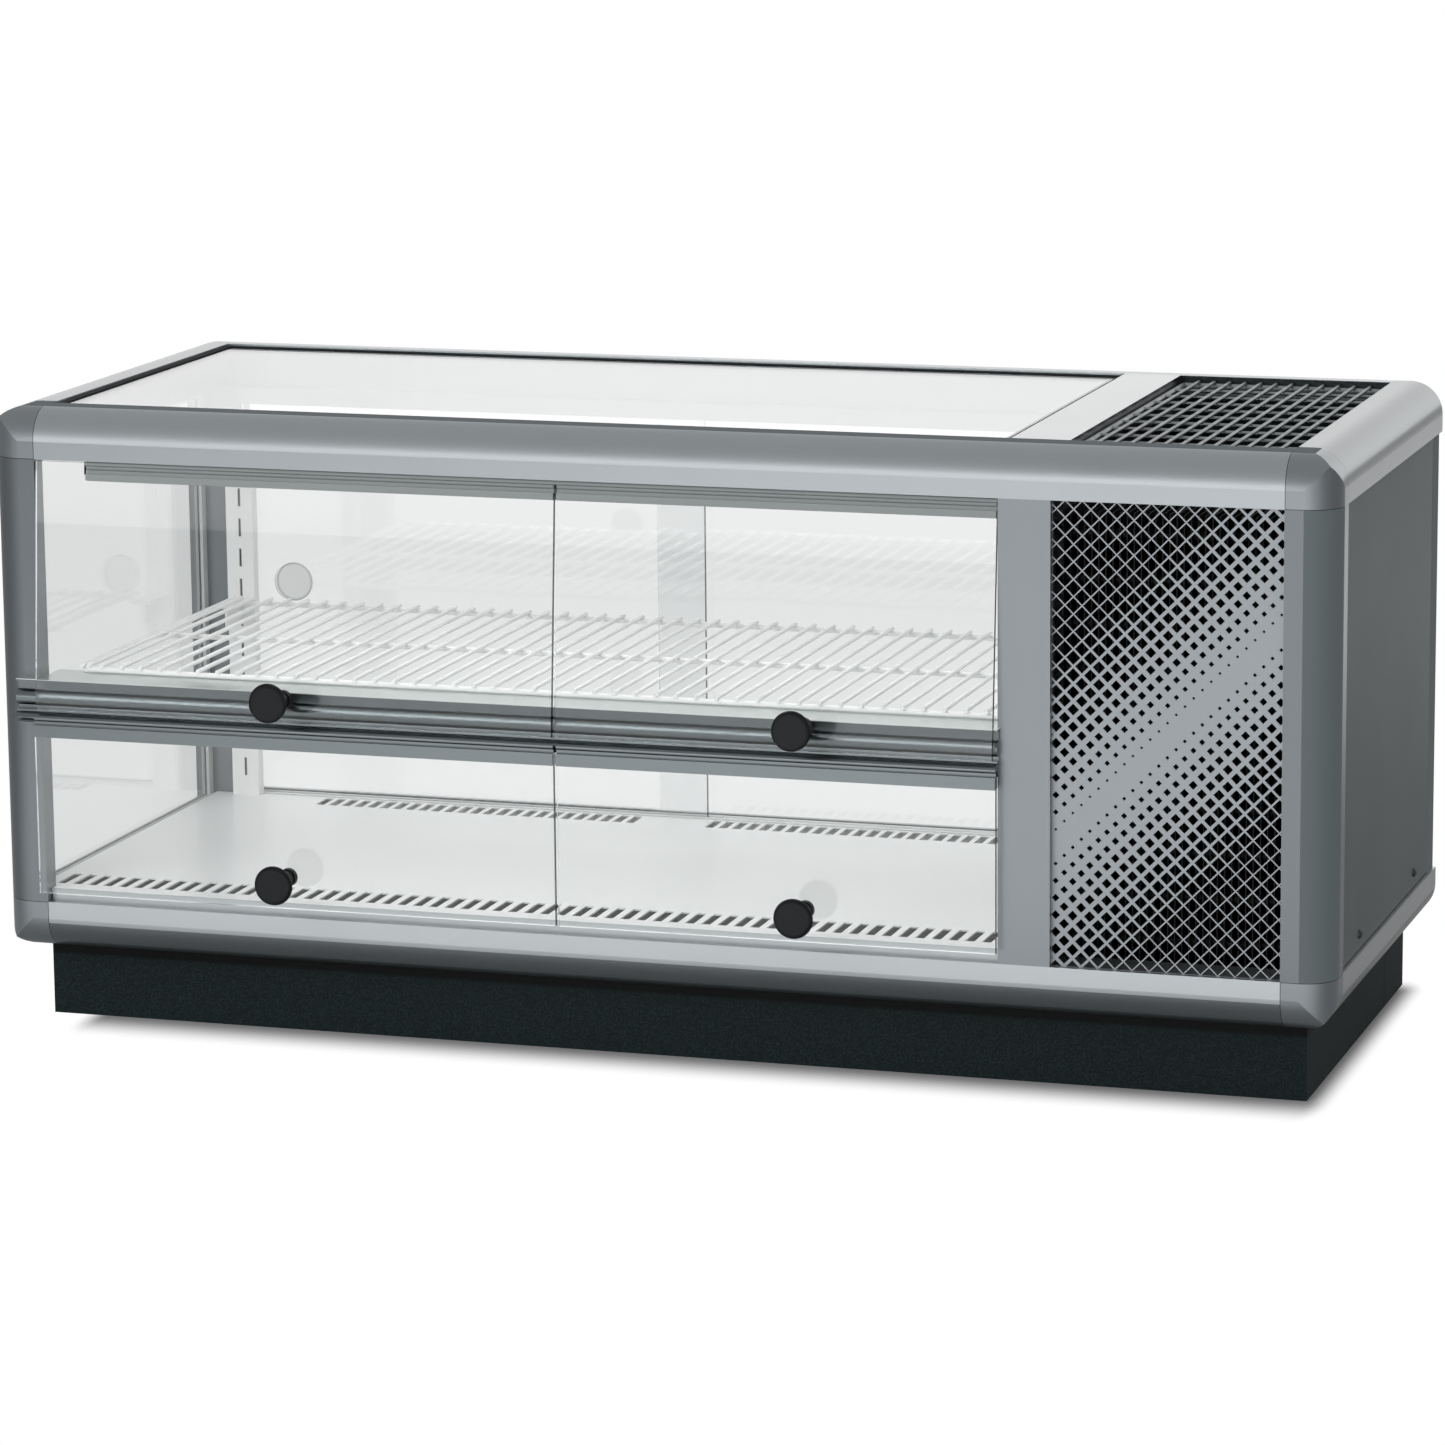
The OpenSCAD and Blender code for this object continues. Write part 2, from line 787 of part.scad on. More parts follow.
module lower_left_hinge() color(c_rail) hang_lower() flap_bar(lower_flap_l, split_l, lower_clamp_h, lower_grip);

module lower_right_hinge() color(c_rail) hang_lower() flap_bar(split_r, lower_flap_r, lower_clamp_h, lower_grip);

// The left pane rises beside the end of its hinge
module upper_left_glass() color(c_glass) hang_upper() {
    flap_glass(flap_l, split_l, upper_top, upper_drop, knob_left_x, upper_knob_rise);
    box([flap_l, -flap_glass_t / 2, -upper_top - over], [hinge_l - 1, flap_glass_t / 2, ear_rise]);
}

module upper_right_glass() color(c_glass) hang_upper()
    flap_glass(split_r, flap_r, upper_top, upper_drop, knob_right_x, upper_knob_rise);

module lower_left_glass() color(c_glass) hang_lower()
    flap_glass(lower_flap_l, split_l, lower_top, lower_drop, knob_left_x, lower_knob_rise);

module lower_right_glass() color(c_glass) hang_lower()
    flap_glass(split_r, lower_flap_r, lower_top, lower_drop, knob_right_x, lower_knob_rise);

module upper_left_knob() color(c_knob) hang_upper() flap_knob(upper_drop, knob_left_x, upper_knob_rise);

module upper_right_knob() color(c_knob) hang_upper() flap_knob(upper_drop, knob_right_x, upper_knob_rise);

module lower_left_knob() color(c_knob) hang_lower() flap_knob(lower_drop, knob_left_x, lower_knob_rise);

module lower_right_knob() color(c_knob) hang_lower() flap_knob(lower_drop, knob_right_x, lower_knob_rise);

// Light under the front top rail
light_l = -half_w + 80;
light_r = part_l - 2;
light_y = section + 16;
light_z = z_high - 12;
holder_l = 18;

module light_housing() color(c_light) place() {
    skin = 2;
    front = section - 2;
    back = section + 32;
    drop = 25;
    translate([light_l, 0, 0]) along_x(light_r - light_l) {
        translate([front - 12, z_high - skin]) square([back - front + 12, skin]);
        translate([front, z_high - drop]) square([skin, drop]);
        translate([front, z_high - drop]) square([10, skin]);
        translate([back - skin, z_high - 17]) square([skin, 17]);
    }
    for (x = [light_l, light_r - holder_l]) {
        box([x, front, z_high - drop + 3], [x + holder_l, back, z_high]);
    }
}

module light_tube() color(c_tube) place() {
    translate([light_l + holder_l, light_y, light_z]) along_x(light_r - light_l - 2 * holder_l) circle(d = 16);
}

// White wire shelf
shelf_gaps = floor((shelf_r - shelf_l) / shelf_pitch);
shelf_step = (shelf_r - shelf_l) / shelf_gaps;

module wire_shelf() color(c_white) place() {
    for (y = [shelf_front + 4, (shelf_front + shelf_back) / 2, shelf_back - 4]) {
        translate([shelf_l, y, bar_z]) rotate([0, 90, 0]) cylinder(h = shelf_r - shelf_l, d = shelf_bar_d);
    }
    for (i = [0 : shelf_gaps]) {
        translate([shelf_l + i * shelf_step, shelf_front, wire_z]) rotate([-90, 0, 0])
            cylinder(h = shelf_back - shelf_front, d = shelf_wire_d);
    }
    for (x = [shelf_l + 6, shelf_r - 6]) {
        translate([x, shelf_front, wire_z]) rotate([-90, 0, 0])
            cylinder(h = shelf_back - shelf_front, d = shelf_wire_d);
    }
}

// Slotted uprights at the back, each with a clip under the shelf
module shelf_upright() {
    slot_d = 3;
    slot_step = 30;
    slot_count = floor((z_high - 30 - deck_z - 40) / slot_step);
    difference() {
        box([-upright_w / 2, -upright_t, deck_z], [upright_w / 2, 0, z_high - 30]);
        box([-upright_w / 2 + 2, -upright_t + 2, deck_z - over], [upright_w / 2 - 2, over, z_high - 30 + over]);
        for (i = [0 : slot_count]) {
            box(
                [-slot_d / 2, -upright_t - over, deck_z + 20 + i * slot_step],
                [slot_d / 2, -upright_t + 3, deck_z + 38 + i * slot_step]
            );
        }
    }
    box([-upright_w / 2 + 4, -upright_t - 48, ledge_z - 3], [upright_w / 2 - 4, -upright_t + 1, ledge_z]);
    box([-1, -upright_t - 40, ledge_z - 24], [1, -upright_t + 1.5, ledge_z - 2]);
}

module shelf_supports() color(c_white) place() {
    translate([-half_w + 41 + upright_w / 2 + 10, back_in, 0]) shelf_upright();
    translate([part_l - upright_w / 2, back_in, 0]) shelf_upright();
}

// Slotted deck
module deck_outline(inset) {
    polygon([
        [-in_x + 1 + inset, deck_front + inset], [div_l - 1 - inset, deck_front + inset],
        [div_l - 1 - inset, divider_t + 1 + inset], [part_l - 1 - inset, divider_t + 1 + inset],
        [part_l - 1 - inset, back_in - 2 - inset], [deck_left + inset, back_in - 2 - inset],
        [deck_left + inset, post_t + 2 + inset], [-in_x + 1 + inset, post_t + 2 + inset]
    ]);
}

module slot_row(left, right, y, pitch, length) {
    slots = floor((right - left - slot_w) / pitch);
    for (i = [0 : slots]) {
        translate([left + i * pitch, y - length / 2]) square([slot_w, length]);
    }
}

module deck() color(c_white) place() {
    front_slots_y = 49;
    rear_slots_y = back_in - 20;
    middle = split_x - 54;
    translate([0, 0, deck_z - sheet_t]) linear_extrude(sheet_t) difference() {
        deck_outline(0);
        slot_row(-in_x - 3, div_l - 8, front_slots_y, slot_pitch, slot_l);
        slot_row(-half_w + 148, middle - 14, rear_slots_y, rear_slot_pitch, rear_slot_l);
        slot_row(middle + 57, part_l - upright_w - 4, rear_slots_y, rear_slot_pitch, rear_slot_l);
    }
    translate([0, 0, z_low]) linear_extrude(deck_rise - sheet_t + 0.1) difference() {
        deck_outline(0);
        deck_outline(sheet_t);
    }
}

// Sliding doors with a round finger recess
module sliding_door(left, track_y, pull_x, face) {
    pull_d = 38;
    recess = 1.2;
    difference() {
        box([left, track_y - door_t / 2, door_bottom], [left + door_w, track_y + door_t / 2, door_top]);
        translate([pull_x, track_y + face * (door_t - recess) - door_t / 2, ledge_z + 15])
            along_y(door_t) circle(d = pull_d);
    }
}

module rear_door_left() color(c_door) place()
    sliding_door(post_in + 1, inner_track_y, post_in + 51, -1);

module rear_door_right() color(c_door) place()
    sliding_door(part_l - 1 - door_w, outer_track_y, part_l - 51, 1);

// Finned coil with tubes along X
coil_over = 8;

module fin_coil(width, depth, height, fins, columns, rows, tube_r) {
    fin_t = 1;
    for (i = [0 : fins - 1]) {
        translate([i * (width - fin_t) / (fins - 1), 0, 0]) cube([fin_t, depth, height]);
    }
    for (c = [0 : columns - 1]) {
        for (r = [0 : rows - 1]) {
            translate([-coil_over, depth * (c + 0.5) / columns, height * (r + 0.5) / rows])
                rotate([0, 90, 0]) cylinder(h = width + 2 * coil_over, r = tube_r);
        }
    }
}

evap_l = cave_l + 150;
evap_w = cave_r - cave_l - 300;
evap_d = 90;
evap_h = z_low - well_floor - 10;
evap_y = cave_back - evap_d - 30;
fan_frame = 84;
fan_frame_d = 32;
evap_fan_x = evap_l + evap_w / 2;
evap_fan_y = evap_y - 44;
evap_fan_z = well_floor + fan_frame / 2;

module evaporator() color(c_steel) place() {
    translate([evap_l, evap_y, well_floor]) fin_coil(evap_w, evap_d, evap_h, 36, 2, 3, 5);
}

// Fan wheel about Y with its bore
module fan_wheel(hub_r, tip_r, depth, bore_r, blades) {
    rotate([-90, 0, 0]) difference() {
        union() {
            cylinder(h = depth, r = hub_r);
            for (i = [0 : blades - 1]) {
                rotate([0, 0, i * 360 / blades]) intersection() {
                    difference() {
                        cylinder(h = depth, r = tip_r);
                        translate([0, 0, -over]) cylinder(h = depth + 2 * over, r = hub_r - 2);
                    }
                    translate([hub_r - 3, 0, depth / 2]) rotate([28, 0, 0])
                        translate([0, -tip_r * 0.28, -0.8]) cube([tip_r, tip_r * 0.56, 1.6]);
                }
            }
        }
        translate([0, 0, -over]) cylinder(h = depth + 2 * over, r = bore_r);
    }
}

module evaporator_fan_frame() color(c_black) place() {
    hole_r = 38;
    translate([evap_fan_x, evap_fan_y, evap_fan_z]) {
        difference() {
            box([-fan_frame / 2, 0, -fan_frame / 2], [fan_frame / 2, fan_frame_d, fan_frame / 2]);
            translate([0, -over, 0]) along_y(fan_frame_d + 2 * over) circle(r = hole_r);
        }
        for (a = [0, 120, 240]) {
            rotate([0, a, 0]) box([10, fan_frame_d - 4, -2], [hole_r + 2, fan_frame_d, 2]);
        }
        translate([0, fan_frame_d - 10, 0]) along_y(10) circle(r = 15);
        translate([0, 6, 0]) along_y(fan_frame_d - 10) circle(r = 2);
    }
}

module evaporator_fan() color(c_black) place() {
    translate([evap_fan_x, evap_fan_y + 6, evap_fan_z]) fan_wheel(15, 36, 15, 2 + run_gap, 7);
}

// Condensing unit
module condenser() color(c_black) place() {
    translate([cond_l, cond_front, tray_z]) fin_coil(cond_w, cond_d, cond_h, 32, 2, cond_rows, 4.5);
}

module condenser_shroud() color(c_black) place() {
    plate_t = 2;
    ring_d = 20;
    difference() {
        union() {
            box([cond_l, shroud_y, tray_z], [cond_l + cond_w, shroud_y + plate_t, tray_z + cond_h]);
            translate([bay_mid, shroud_y, fan_z]) along_y(ring_d) circle(r = fan_r + 4);
        }
        translate([bay_mid, shroud_y - over, fan_z]) along_y(ring_d + 2 * over) circle(r = fan_r + 2);
    }
    for (x = [-1, 1]) {
        translate([bay_mid + x * 40 - 4, motor_y, tray_z]) cube([8, plate_t, cond_h]);
        for (z = [tray_z, tray_z + cond_h - plate_t]) {
            translate([bay_mid + x * 40 - 4, shroud_y, z]) cube([8, motor_y - shroud_y + plate_t, plate_t]);
        }
    }
}

module condenser_fan_motor() color(c_steel) place() {
    motor_r = 36;
    motor_l = 46;
    shaft_r = 3;
    translate([bay_mid, motor_y + 2, fan_z]) {
        along_y(motor_l) circle(r = motor_r);
        translate([0, -38, 0]) along_y(40) circle(r = shaft_r);
        box([-44, 0, -6], [44, 4, 6]);
    }
}

module condenser_fan() color(c_black) place() {
    translate([bay_mid, shroud_y + 10, fan_z]) fan_wheel(22, fan_r, 24, 3 + run_gap, 5);
}

comp_r = 72;
comp_y = evap_y + evap_d / 4;
comp_z = tray_z + 10;
comp_h = 170;
stub_z = 75;
stub_l = 6;

module compressor() color(c_black) place() {
    foot_h = 10;
    translate([bay_mid, comp_y, comp_z]) {
        box([-84, -60, 0], [84, 60, 4]);
        rotate_extrude() {
            square([comp_r - 4, 10]);
            translate([0, 4]) square([comp_r, 80]);
            translate([0, 82]) square([comp_r + 3, 8]);
            translate([0, 88]) square([comp_r, 40]);
            intersection() {
                translate([0, 128 - comp_r * 0.35]) circle(r = comp_r * 1.06);
                translate([0, 100]) square([comp_r, comp_h]);
            }
        }
        box([-24, -comp_r - 22, 30], [24, -comp_r + 20, 76]);
        translate([-comp_r - stub_l, 0, stub_z]) along_x(2 * (comp_r + stub_l)) circle(r = 6);
        for (x = [-72, 72]) {
            for (y = [-48, 48]) {
                translate([x, y, -foot_h]) cylinder(h = foot_h, r = 9);
            }
        }
    }
}

// Lines pass through the well at the height of the evaporator's upper tubes
line_r = 4.5;
line_hole_r = line_r + rest_gap;
line_z = well_floor + evap_h * 5 / 6;
suction_y = comp_y;
liquid_y = evap_y + evap_d * 3 / 4;

// Tube along a list of points
module tube_run(points, r) {
    for (i = [0 : len(points) - 2]) {
        a = points[i];
        v = points[i + 1] - a;
        translate(a) rotate([0, acos(v[2] / norm(v)), atan2(v[1], v[0])]) cylinder(h = norm(v), r = r);
        if (i > 0) translate(a) sphere(r = r);
    }
}

// Hot line to the condenser, liquid line with its drier to the evaporator, and suction line back
module refrigerant_lines() color(c_copper) place() {
    side_x = in_x + 13;
    down_x = part_r + 14;
    stub_x = comp_r + stub_l;
    high_z = tray_z + cond_h + 6;
    hot_y = cond_front + cond_d * 3 / 4;
    hot_z = tray_z + cond_h * (1 - 0.5 / cond_rows);
    cool_y = cond_front + cond_d / 4;
    cool_z = tray_z + cond_h * 1.5 / cond_rows;
    cross_y = back_in - 28;
    cond_end = cond_l + cond_w + coil_over;
    evap_end = evap_l + evap_w + coil_over;
    tube_run([
        [bay_mid + stub_x, comp_y, comp_z + stub_z], [side_x, comp_y, comp_z + stub_z],
        [side_x, comp_y, high_z], [side_x, hot_y, high_z], [side_x, hot_y, hot_z], [cond_end, hot_y, hot_z]
    ], line_r);
    tube_run([
        [cond_end, cool_y, cool_z], [side_x, cool_y, cool_z], [side_x, cross_y, cool_z],
        [down_x, cross_y, cool_z], [down_x, liquid_y, cool_z], [down_x, liquid_y, line_z],
        [evap_end, liquid_y, line_z]
    ], 3);
    translate([side_x, cool_y + 60, cool_z]) along_y(90) circle(r = 8);
    tube_run([
        [bay_mid - stub_x, comp_y, comp_z + stub_z], [down_x, comp_y, comp_z + stub_z],
        [down_x, comp_y, line_z], [evap_end, comp_y, line_z]
    ], line_r);
}

// Controls behind the louvred panel
module control_box() color(c_black) place() {
    depth = 40;
    difference() {
        box([control_x - 18, panel_y - depth, control_z - 24], [dial_x + 22, panel_y, control_z + 24]);
        box([control_x - 9.4, panel_y - 16, control_z - 14.5], [control_x + 9.4, panel_y + over, control_z + 14.5]);
        translate([control_x - 13, panel_y - 4, control_z]) along_x(26) circle(r = 1.5 + run_gap);
    }
    translate([dial_x, panel_y - over, control_z]) along_y(12 + over) circle(r = 3);
}

module rocker_switch() color(c_white) place() {
    translate([control_x - 9, panel_y - 4, control_z]) along_x(18) {
        circle(r = 5);
        polygon([[0, -11], [7, -12], [5.8, 0], [7, 12], [0, 11]]);
    }
    translate([control_x - 12.6, panel_y - 4, control_z]) along_x(25.2) circle(r = 1.5);
}

module thermostat_dial() color(c_knob) place() {
    translate([dial_x, panel_y + sheet_t + rest_gap, control_z]) rotate([-90, 0, 0]) difference() {
        union() {
            cylinder(h = 4, r = 17);
            cylinder(h = 13, r = 13);
            translate([-1.5, 10, 0]) cube([3, 6, 6]);
        }
        translate([0, 0, -over]) cylinder(h = 11.5, r = 3 + run_gap);
    }
}

module cable_gland() color(c_black) place() {
    translate([gland_x, panel_y, control_z]) rotate([-90, 0, 0]) difference() {
        union() {
            translate([0, 0, -14]) cylinder(h = 20, r = 8);
            translate([0, 0, sheet_t]) cylinder(h = 5, r = 12, $fn = 6);
            translate([0, 0, -6]) cylinder(h = 6, r = 12, $fn = 6);
            translate([0, 0, 6]) cylinder(h = 8, r1 = 10, r2 = 8);
        }
        translate([0, 0, -15]) cylinder(h = 40, r = 4.5);
    }
}

front_top_rail();
front_bottom_rail();
left_top_rail();
right_top_rail();
side_bottom_rails();
left_front_post();
right_front_post();
corner_castings();
rear_top_rail();
rear_bottom_rail();
rear_posts();
divider();
plinth_front();
plinth_rear();
base_well();
machine_tray();
front_grille();
top_grid();
top_plate();
top_glass();
left_end_glass();
glazing_gaskets();
right_side_panel();
rear_louvre_panel();
partition();
upper_hinge_strip();
mid_rail();
upper_left_glass();
upper_right_glass();
lower_left_glass();
lower_right_glass();
upper_left_hinge();
upper_right_hinge();
lower_left_hinge();
lower_right_hinge();
upper_left_knob();
upper_right_knob();
lower_left_knob();
lower_right_knob();
light_housing();
light_tube();
wire_shelf();
shelf_supports();
deck();
rear_door_left();
rear_door_right();
evaporator();
evaporator_fan_frame();
evaporator_fan();
condenser();
condenser_shroud();
condenser_fan_motor();
condenser_fan();
compressor();
refrigerant_lines();
control_box();
rocker_switch();
thermostat_dial();
cable_gland();
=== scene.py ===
# %% [markdown]
# # A counter-top refrigerated display case
#
# The measured case comes in first as a fixed frame of named nodes. Everything below only dresses it: a
# camera, a small studio, one finish for each real material, and the small pieces that are too fine for
# the frame.

# %% Load the measured case
import math

import bmesh
import bpy
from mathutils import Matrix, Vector


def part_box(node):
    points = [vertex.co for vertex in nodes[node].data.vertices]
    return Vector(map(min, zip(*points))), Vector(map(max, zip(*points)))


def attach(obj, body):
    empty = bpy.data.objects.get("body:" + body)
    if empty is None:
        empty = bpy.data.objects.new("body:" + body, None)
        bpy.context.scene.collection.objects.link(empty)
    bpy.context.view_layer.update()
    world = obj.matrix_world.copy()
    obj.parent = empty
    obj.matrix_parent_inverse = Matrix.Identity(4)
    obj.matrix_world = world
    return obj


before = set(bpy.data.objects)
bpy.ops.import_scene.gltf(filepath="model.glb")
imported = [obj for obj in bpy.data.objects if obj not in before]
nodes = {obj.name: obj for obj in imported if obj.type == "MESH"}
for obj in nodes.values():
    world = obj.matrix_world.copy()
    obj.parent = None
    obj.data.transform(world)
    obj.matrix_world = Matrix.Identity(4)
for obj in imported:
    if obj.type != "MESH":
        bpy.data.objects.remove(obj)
scene = bpy.context.scene
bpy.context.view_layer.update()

# %% [markdown]
# ## Camera
#
# The photograph was taken from the right and a little above, with a long lens. Its place and angles were
# worked out from the corners of the frame, so the camera is set once, by numbers, and is not aimed by
# eye.

# %% Camera
PHOTO_SIDE = 1445
FOCAL_PIXELS = 5723.7
SENSOR_MM = 36
CAMERA_PLACE = (1.5799, -4.9312, 1.3122)
CAMERA_DEGREES = (78.661, 0.532, 17.565)

camera_data = bpy.data.cameras.new("photo_camera")
camera_data.sensor_width = SENSOR_MM
camera_data.lens = SENSOR_MM * FOCAL_PIXELS / PHOTO_SIDE
camera = bpy.data.objects.new("photo_camera", camera_data)
camera.location = CAMERA_PLACE
camera.rotation_euler = [math.radians(angle) for angle in CAMERA_DEGREES]
scene.collection.objects.link(camera)
scene.camera = camera
print("lens", round(camera_data.lens, 1), "mm")

# %% [markdown]
# ## Shader maths as Python
#
# Every finish is a small graph of nodes. Wiring nodes by hand is long to read, so one class wraps a
# socket and lets + - * and comparisons add the Math nodes, and one method adds any other node.

# %% Sockets and graphs
class Wire:
    """An output socket that takes part in Python expressions."""

    def __init__(self, graph, socket):
        self.graph = graph
        self.socket = socket

    def maths(self, operation, left, right):
        return self.graph.add("ShaderNodeMath", {"operation": operation}, {0: left, 1: right})["Value"]

    def __add__(self, other):
        return self.maths("ADD", self, other)

    def __radd__(self, other):
        return self.maths("ADD", other, self)

    def __sub__(self, other):
        return self.maths("SUBTRACT", self, other)

    def __rsub__(self, other):
        return self.maths("SUBTRACT", other, self)

    def __mul__(self, other):
        return self.maths("MULTIPLY", self, other)

    def __rmul__(self, other):
        return self.maths("MULTIPLY", other, self)

    def __gt__(self, other):
        return self.maths("GREATER_THAN", self, other)

    def __lt__(self, other):
        return self.maths("LESS_THAN", self, other)

    def __abs__(self):
        return self.maths("ABSOLUTE", self, 0.0)

    def most(self, other):
        return self.maths("MAXIMUM", self, other)

    def least(self, other):
        return self.maths("MINIMUM", self, other)


class Graph:
    """The nodes of one material or of the world."""

    def __init__(self, tree):
        self.tree = tree

    def feed(self, node, key, value):
        if isinstance(key, int):
            socket = node.inputs[key]
        else:
            socket = next(s for s in node.inputs if s.name == key and s.enabled)
        if isinstance(value, Wire):
            self.tree.links.new(value.socket, socket)
        else:
            socket.default_value = value

    def add(self, kind, settings=None, inputs=None):
        node = self.tree.nodes.new(kind)
        for key, value in (settings or {}).items():
            if key == "stops":
                self.set_stops(node.color_ramp, value)
            else:
                setattr(node, key, value)
        for key, value in (inputs or {}).items():
            self.feed(node, key, value)
        return {s.name: Wire(self, s) for s in node.outputs if s.enabled}

    def set_stops(self, ramp, stops):
        while len(ramp.elements) < len(stops):
            ramp.elements.new(1.0)
        for element, (place, level) in zip(ramp.elements, stops):
            element.position = place
            element.color = (level, level, level, 1.0)


print("graph helpers ready")

# %% [markdown]
# ## Studio
#
# The case stands on a pale floor in a white room. Rays that the camera, a reflection or a pane of glass
# sends out see a white room. For reflections alone, its ceiling and its two sides are darker, its back
# wall is brighter and a bright strip runs along its front. That gives metal its soft grey bands and a
# light line along each rail, and makes the top glass pale. The light that falls on the case itself is
# kept at a plain level, so a colour comes out about as it is written. Each span below is a part of a
# ray's direction, over which one part of the room fades in or out.

# %% Room light
FILL_LEVEL = 0.62
CEILING_DIM = 0.5
SIDE_DIM = 0.6
BACK_LIFT = 0.28
FRONT_STRIP = 3.2
CEILING_SPAN = (0.18, 0.5)
FLANK_SPAN = (0.3, 0.85)
BACK_SPAN = (0.3, 0.8)
BACK_TOP = (0.2, 0.4)
STRIP_FOOT = (-0.04, 0.04)
STRIP_TOP = (0.06, 0.16)
STRIP_FACING = (0.5, 0.8)

world = bpy.data.worlds.new("studio_room")
world.use_nodes = True
scene.world = world
room = Graph(world.node_tree)


def eye_rays(graph):
    """Two masks: rays of the camera, of a reflection or through glass, and those of a reflection alone."""
    path = graph.add("ShaderNodeLightPath")
    through = path["Is Transmission Ray"]
    mirrored = path["Is Glossy Ray"] * (1.0 - through)
    return (path["Is Camera Ray"] + mirrored + through).least(1.0), mirrored


def eased(graph, value, start, end, low, high):
    """Goes smoothly from low to high as the value goes from start to end."""
    return graph.add(
        "ShaderNodeMapRange",
        {"interpolation_type": "SMOOTHSTEP"},
        {"Value": value, "From Min": start, "From Max": end, "To Min": low, "To Max": high},
    )["Result"]


ray = room.add("ShaderNodeSeparateXYZ", None, {"Vector": room.add("ShaderNodeTexCoord")["Generated"]})
ceiling = eased(room, ray["Z"], *CEILING_SPAN, 0.0, CEILING_DIM)
flank = eased(room, abs(ray["X"]), *FLANK_SPAN, 0.0, SIDE_DIM)
seen, mirrored = eye_rays(room)
backdrop = world.node_tree.nodes["Background"]
room.feed(backdrop, "Color", (1.0, 1.0, 1.0, 1.0))
back_wall = eased(room, ray["Y"], *BACK_SPAN, 0.0, BACK_LIFT) * eased(room, ray["Z"], *BACK_TOP, 1.0, 0.0)
strip_height = eased(room, ray["Z"], *STRIP_FOOT, 0.0, 1.0) * eased(room, ray["Z"], *STRIP_TOP, 1.0, 0.0)
front_strip = strip_height * eased(room, -1.0 * ray["Y"], *STRIP_FACING, 0.0, FRONT_STRIP)
reflected = (back_wall + front_strip - ceiling.most(flank)) * mirrored
room.feed(backdrop, "Strength", seen * (1.0 + reflected) + (1.0 - seen) * FILL_LEVEL)
scene.view_settings.view_transform = "Standard"
print("room level", FILL_LEVEL)


# %% Lamps
def softbox(name, place, aim, width, height, watts):
    """A rectangular area lamp that faces a point and leaves no mirror image of itself."""
    lamp = bpy.data.lights.new(name, "AREA")
    lamp.shape = "RECTANGLE"
    lamp.size = width
    lamp.size_y = height
    lamp.energy = watts
    holder = bpy.data.objects.new(name, lamp)
    holder.location = place
    holder.rotation_euler = (Vector(aim) - Vector(place)).to_track_quat("-Z", "Y").to_euler()
    holder.visible_glossy = False
    scene.collection.objects.link(holder)


softbox("key_softbox", place=(-1.6, -3.6, 2.1), aim=(0.0, 0.0, 0.3), width=3.0, height=2.4, watts=66)
softbox("top_softbox", place=(-0.2, 1.6, 3.0), aim=(0.0, 0.0, 0.4), width=2.6, height=1.6, watts=22)

# %% [markdown]
# The floor is plain white further out, so no edge shows where the room begins, and near the foot of the
# plinth a painted shadow lets its own lit grey show through. The painted shadow starts a little in from the
# left end. Metal sees a darker floor: it is bright only well in front of the case and behind it, so the
# upright faces are pale and the edges that turn down or sideways are dark.

# %% Floor
FLOOR_HALF = 30.0
SHADOW_REACH = 0.05
SHADOW_GLOW = 0.05
SHADOW_LEFT = 0.055
SHADOW_BACK = 0.03
FRONT_SPREAD = 0.65
SIDE_SPREAD = 1.9
FLOOR_GREY = 0.32
MIRROR_NEAR = 0.05
MIRROR_FAR = 0.6
MIRROR_SIDE = 1.3
BEHIND_NEAR = 0.6
BEHIND_FAR = 2.4
MIRROR_LOW = 0.05
FRONT_SHEET = 1.5


def mesh_piece(name, shape):
    """Turns a bmesh into an object at the origin."""
    mesh = bpy.data.meshes.new(name)
    shape.to_mesh(mesh)
    shape.free()
    piece = bpy.data.objects.new(name, mesh)
    scene.collection.objects.link(piece)
    return piece


floor_shape = bmesh.new()
bmesh.ops.create_grid(floor_shape, x_segments=1, y_segments=1, size=FLOOR_HALF)
floor = mesh_piece("floor", floor_shape)
floor_paint = bpy.data.materials.new("pale_floor")
floor_paint.use_nodes = True
floor_graph = Graph(floor_paint.node_tree)
floor_shader = floor_paint.node_tree.nodes["Principled BSDF"]
floor_graph.feed(floor_shader, "Base Color", (FLOOR_GREY, FLOOR_GREY, FLOOR_GREY, 1.0))
floor_graph.feed(floor_shader, "Roughness", 0.9)
floor_graph.feed(floor_shader, "Specular IOR Level", 0.0)
floor_place = floor_graph.add("ShaderNodeTexCoord")["Object"]
floor_axes = floor_graph.add("ShaderNodeSeparateXYZ", None, {"Vector": floor_place})
foot_low, foot_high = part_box("plinth_front")
side_gap = abs(floor_axes["X"]) - foot_high.x
front_gap = foot_low.y - floor_axes["Y"]
back_gap = floor_axes["Y"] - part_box("plinth_rear")[1].y
left_gap = foot_low.x + SHADOW_LEFT - floor_axes["X"]
right_gap = floor_axes["X"] - foot_high.x
out_side = left_gap.most(right_gap).most(0.0) * SIDE_SPREAD
out_front = front_gap.most(0.0) * FRONT_SPREAD
out_back = (back_gap + SHADOW_BACK).most(0.0)
out_square = out_side * out_side + out_front * out_front + out_back * out_back
foot_gap = floor_graph.add("ShaderNodeMath", {"operation": "SQRT"}, {0: out_square})["Value"]
white = eased(floor_graph, foot_gap, 0.0, SHADOW_REACH, SHADOW_GLOW, 1.0)
in_front = eased(floor_graph, front_gap, MIRROR_NEAR, MIRROR_FAR, MIRROR_LOW, 1.0)
behind = eased(floor_graph, back_gap, BEHIND_NEAR, BEHIND_FAR, MIRROR_LOW, 1.0)
beside = eased(floor_graph, side_gap, 0.0, MIRROR_SIDE, 1.0, MIRROR_LOW)
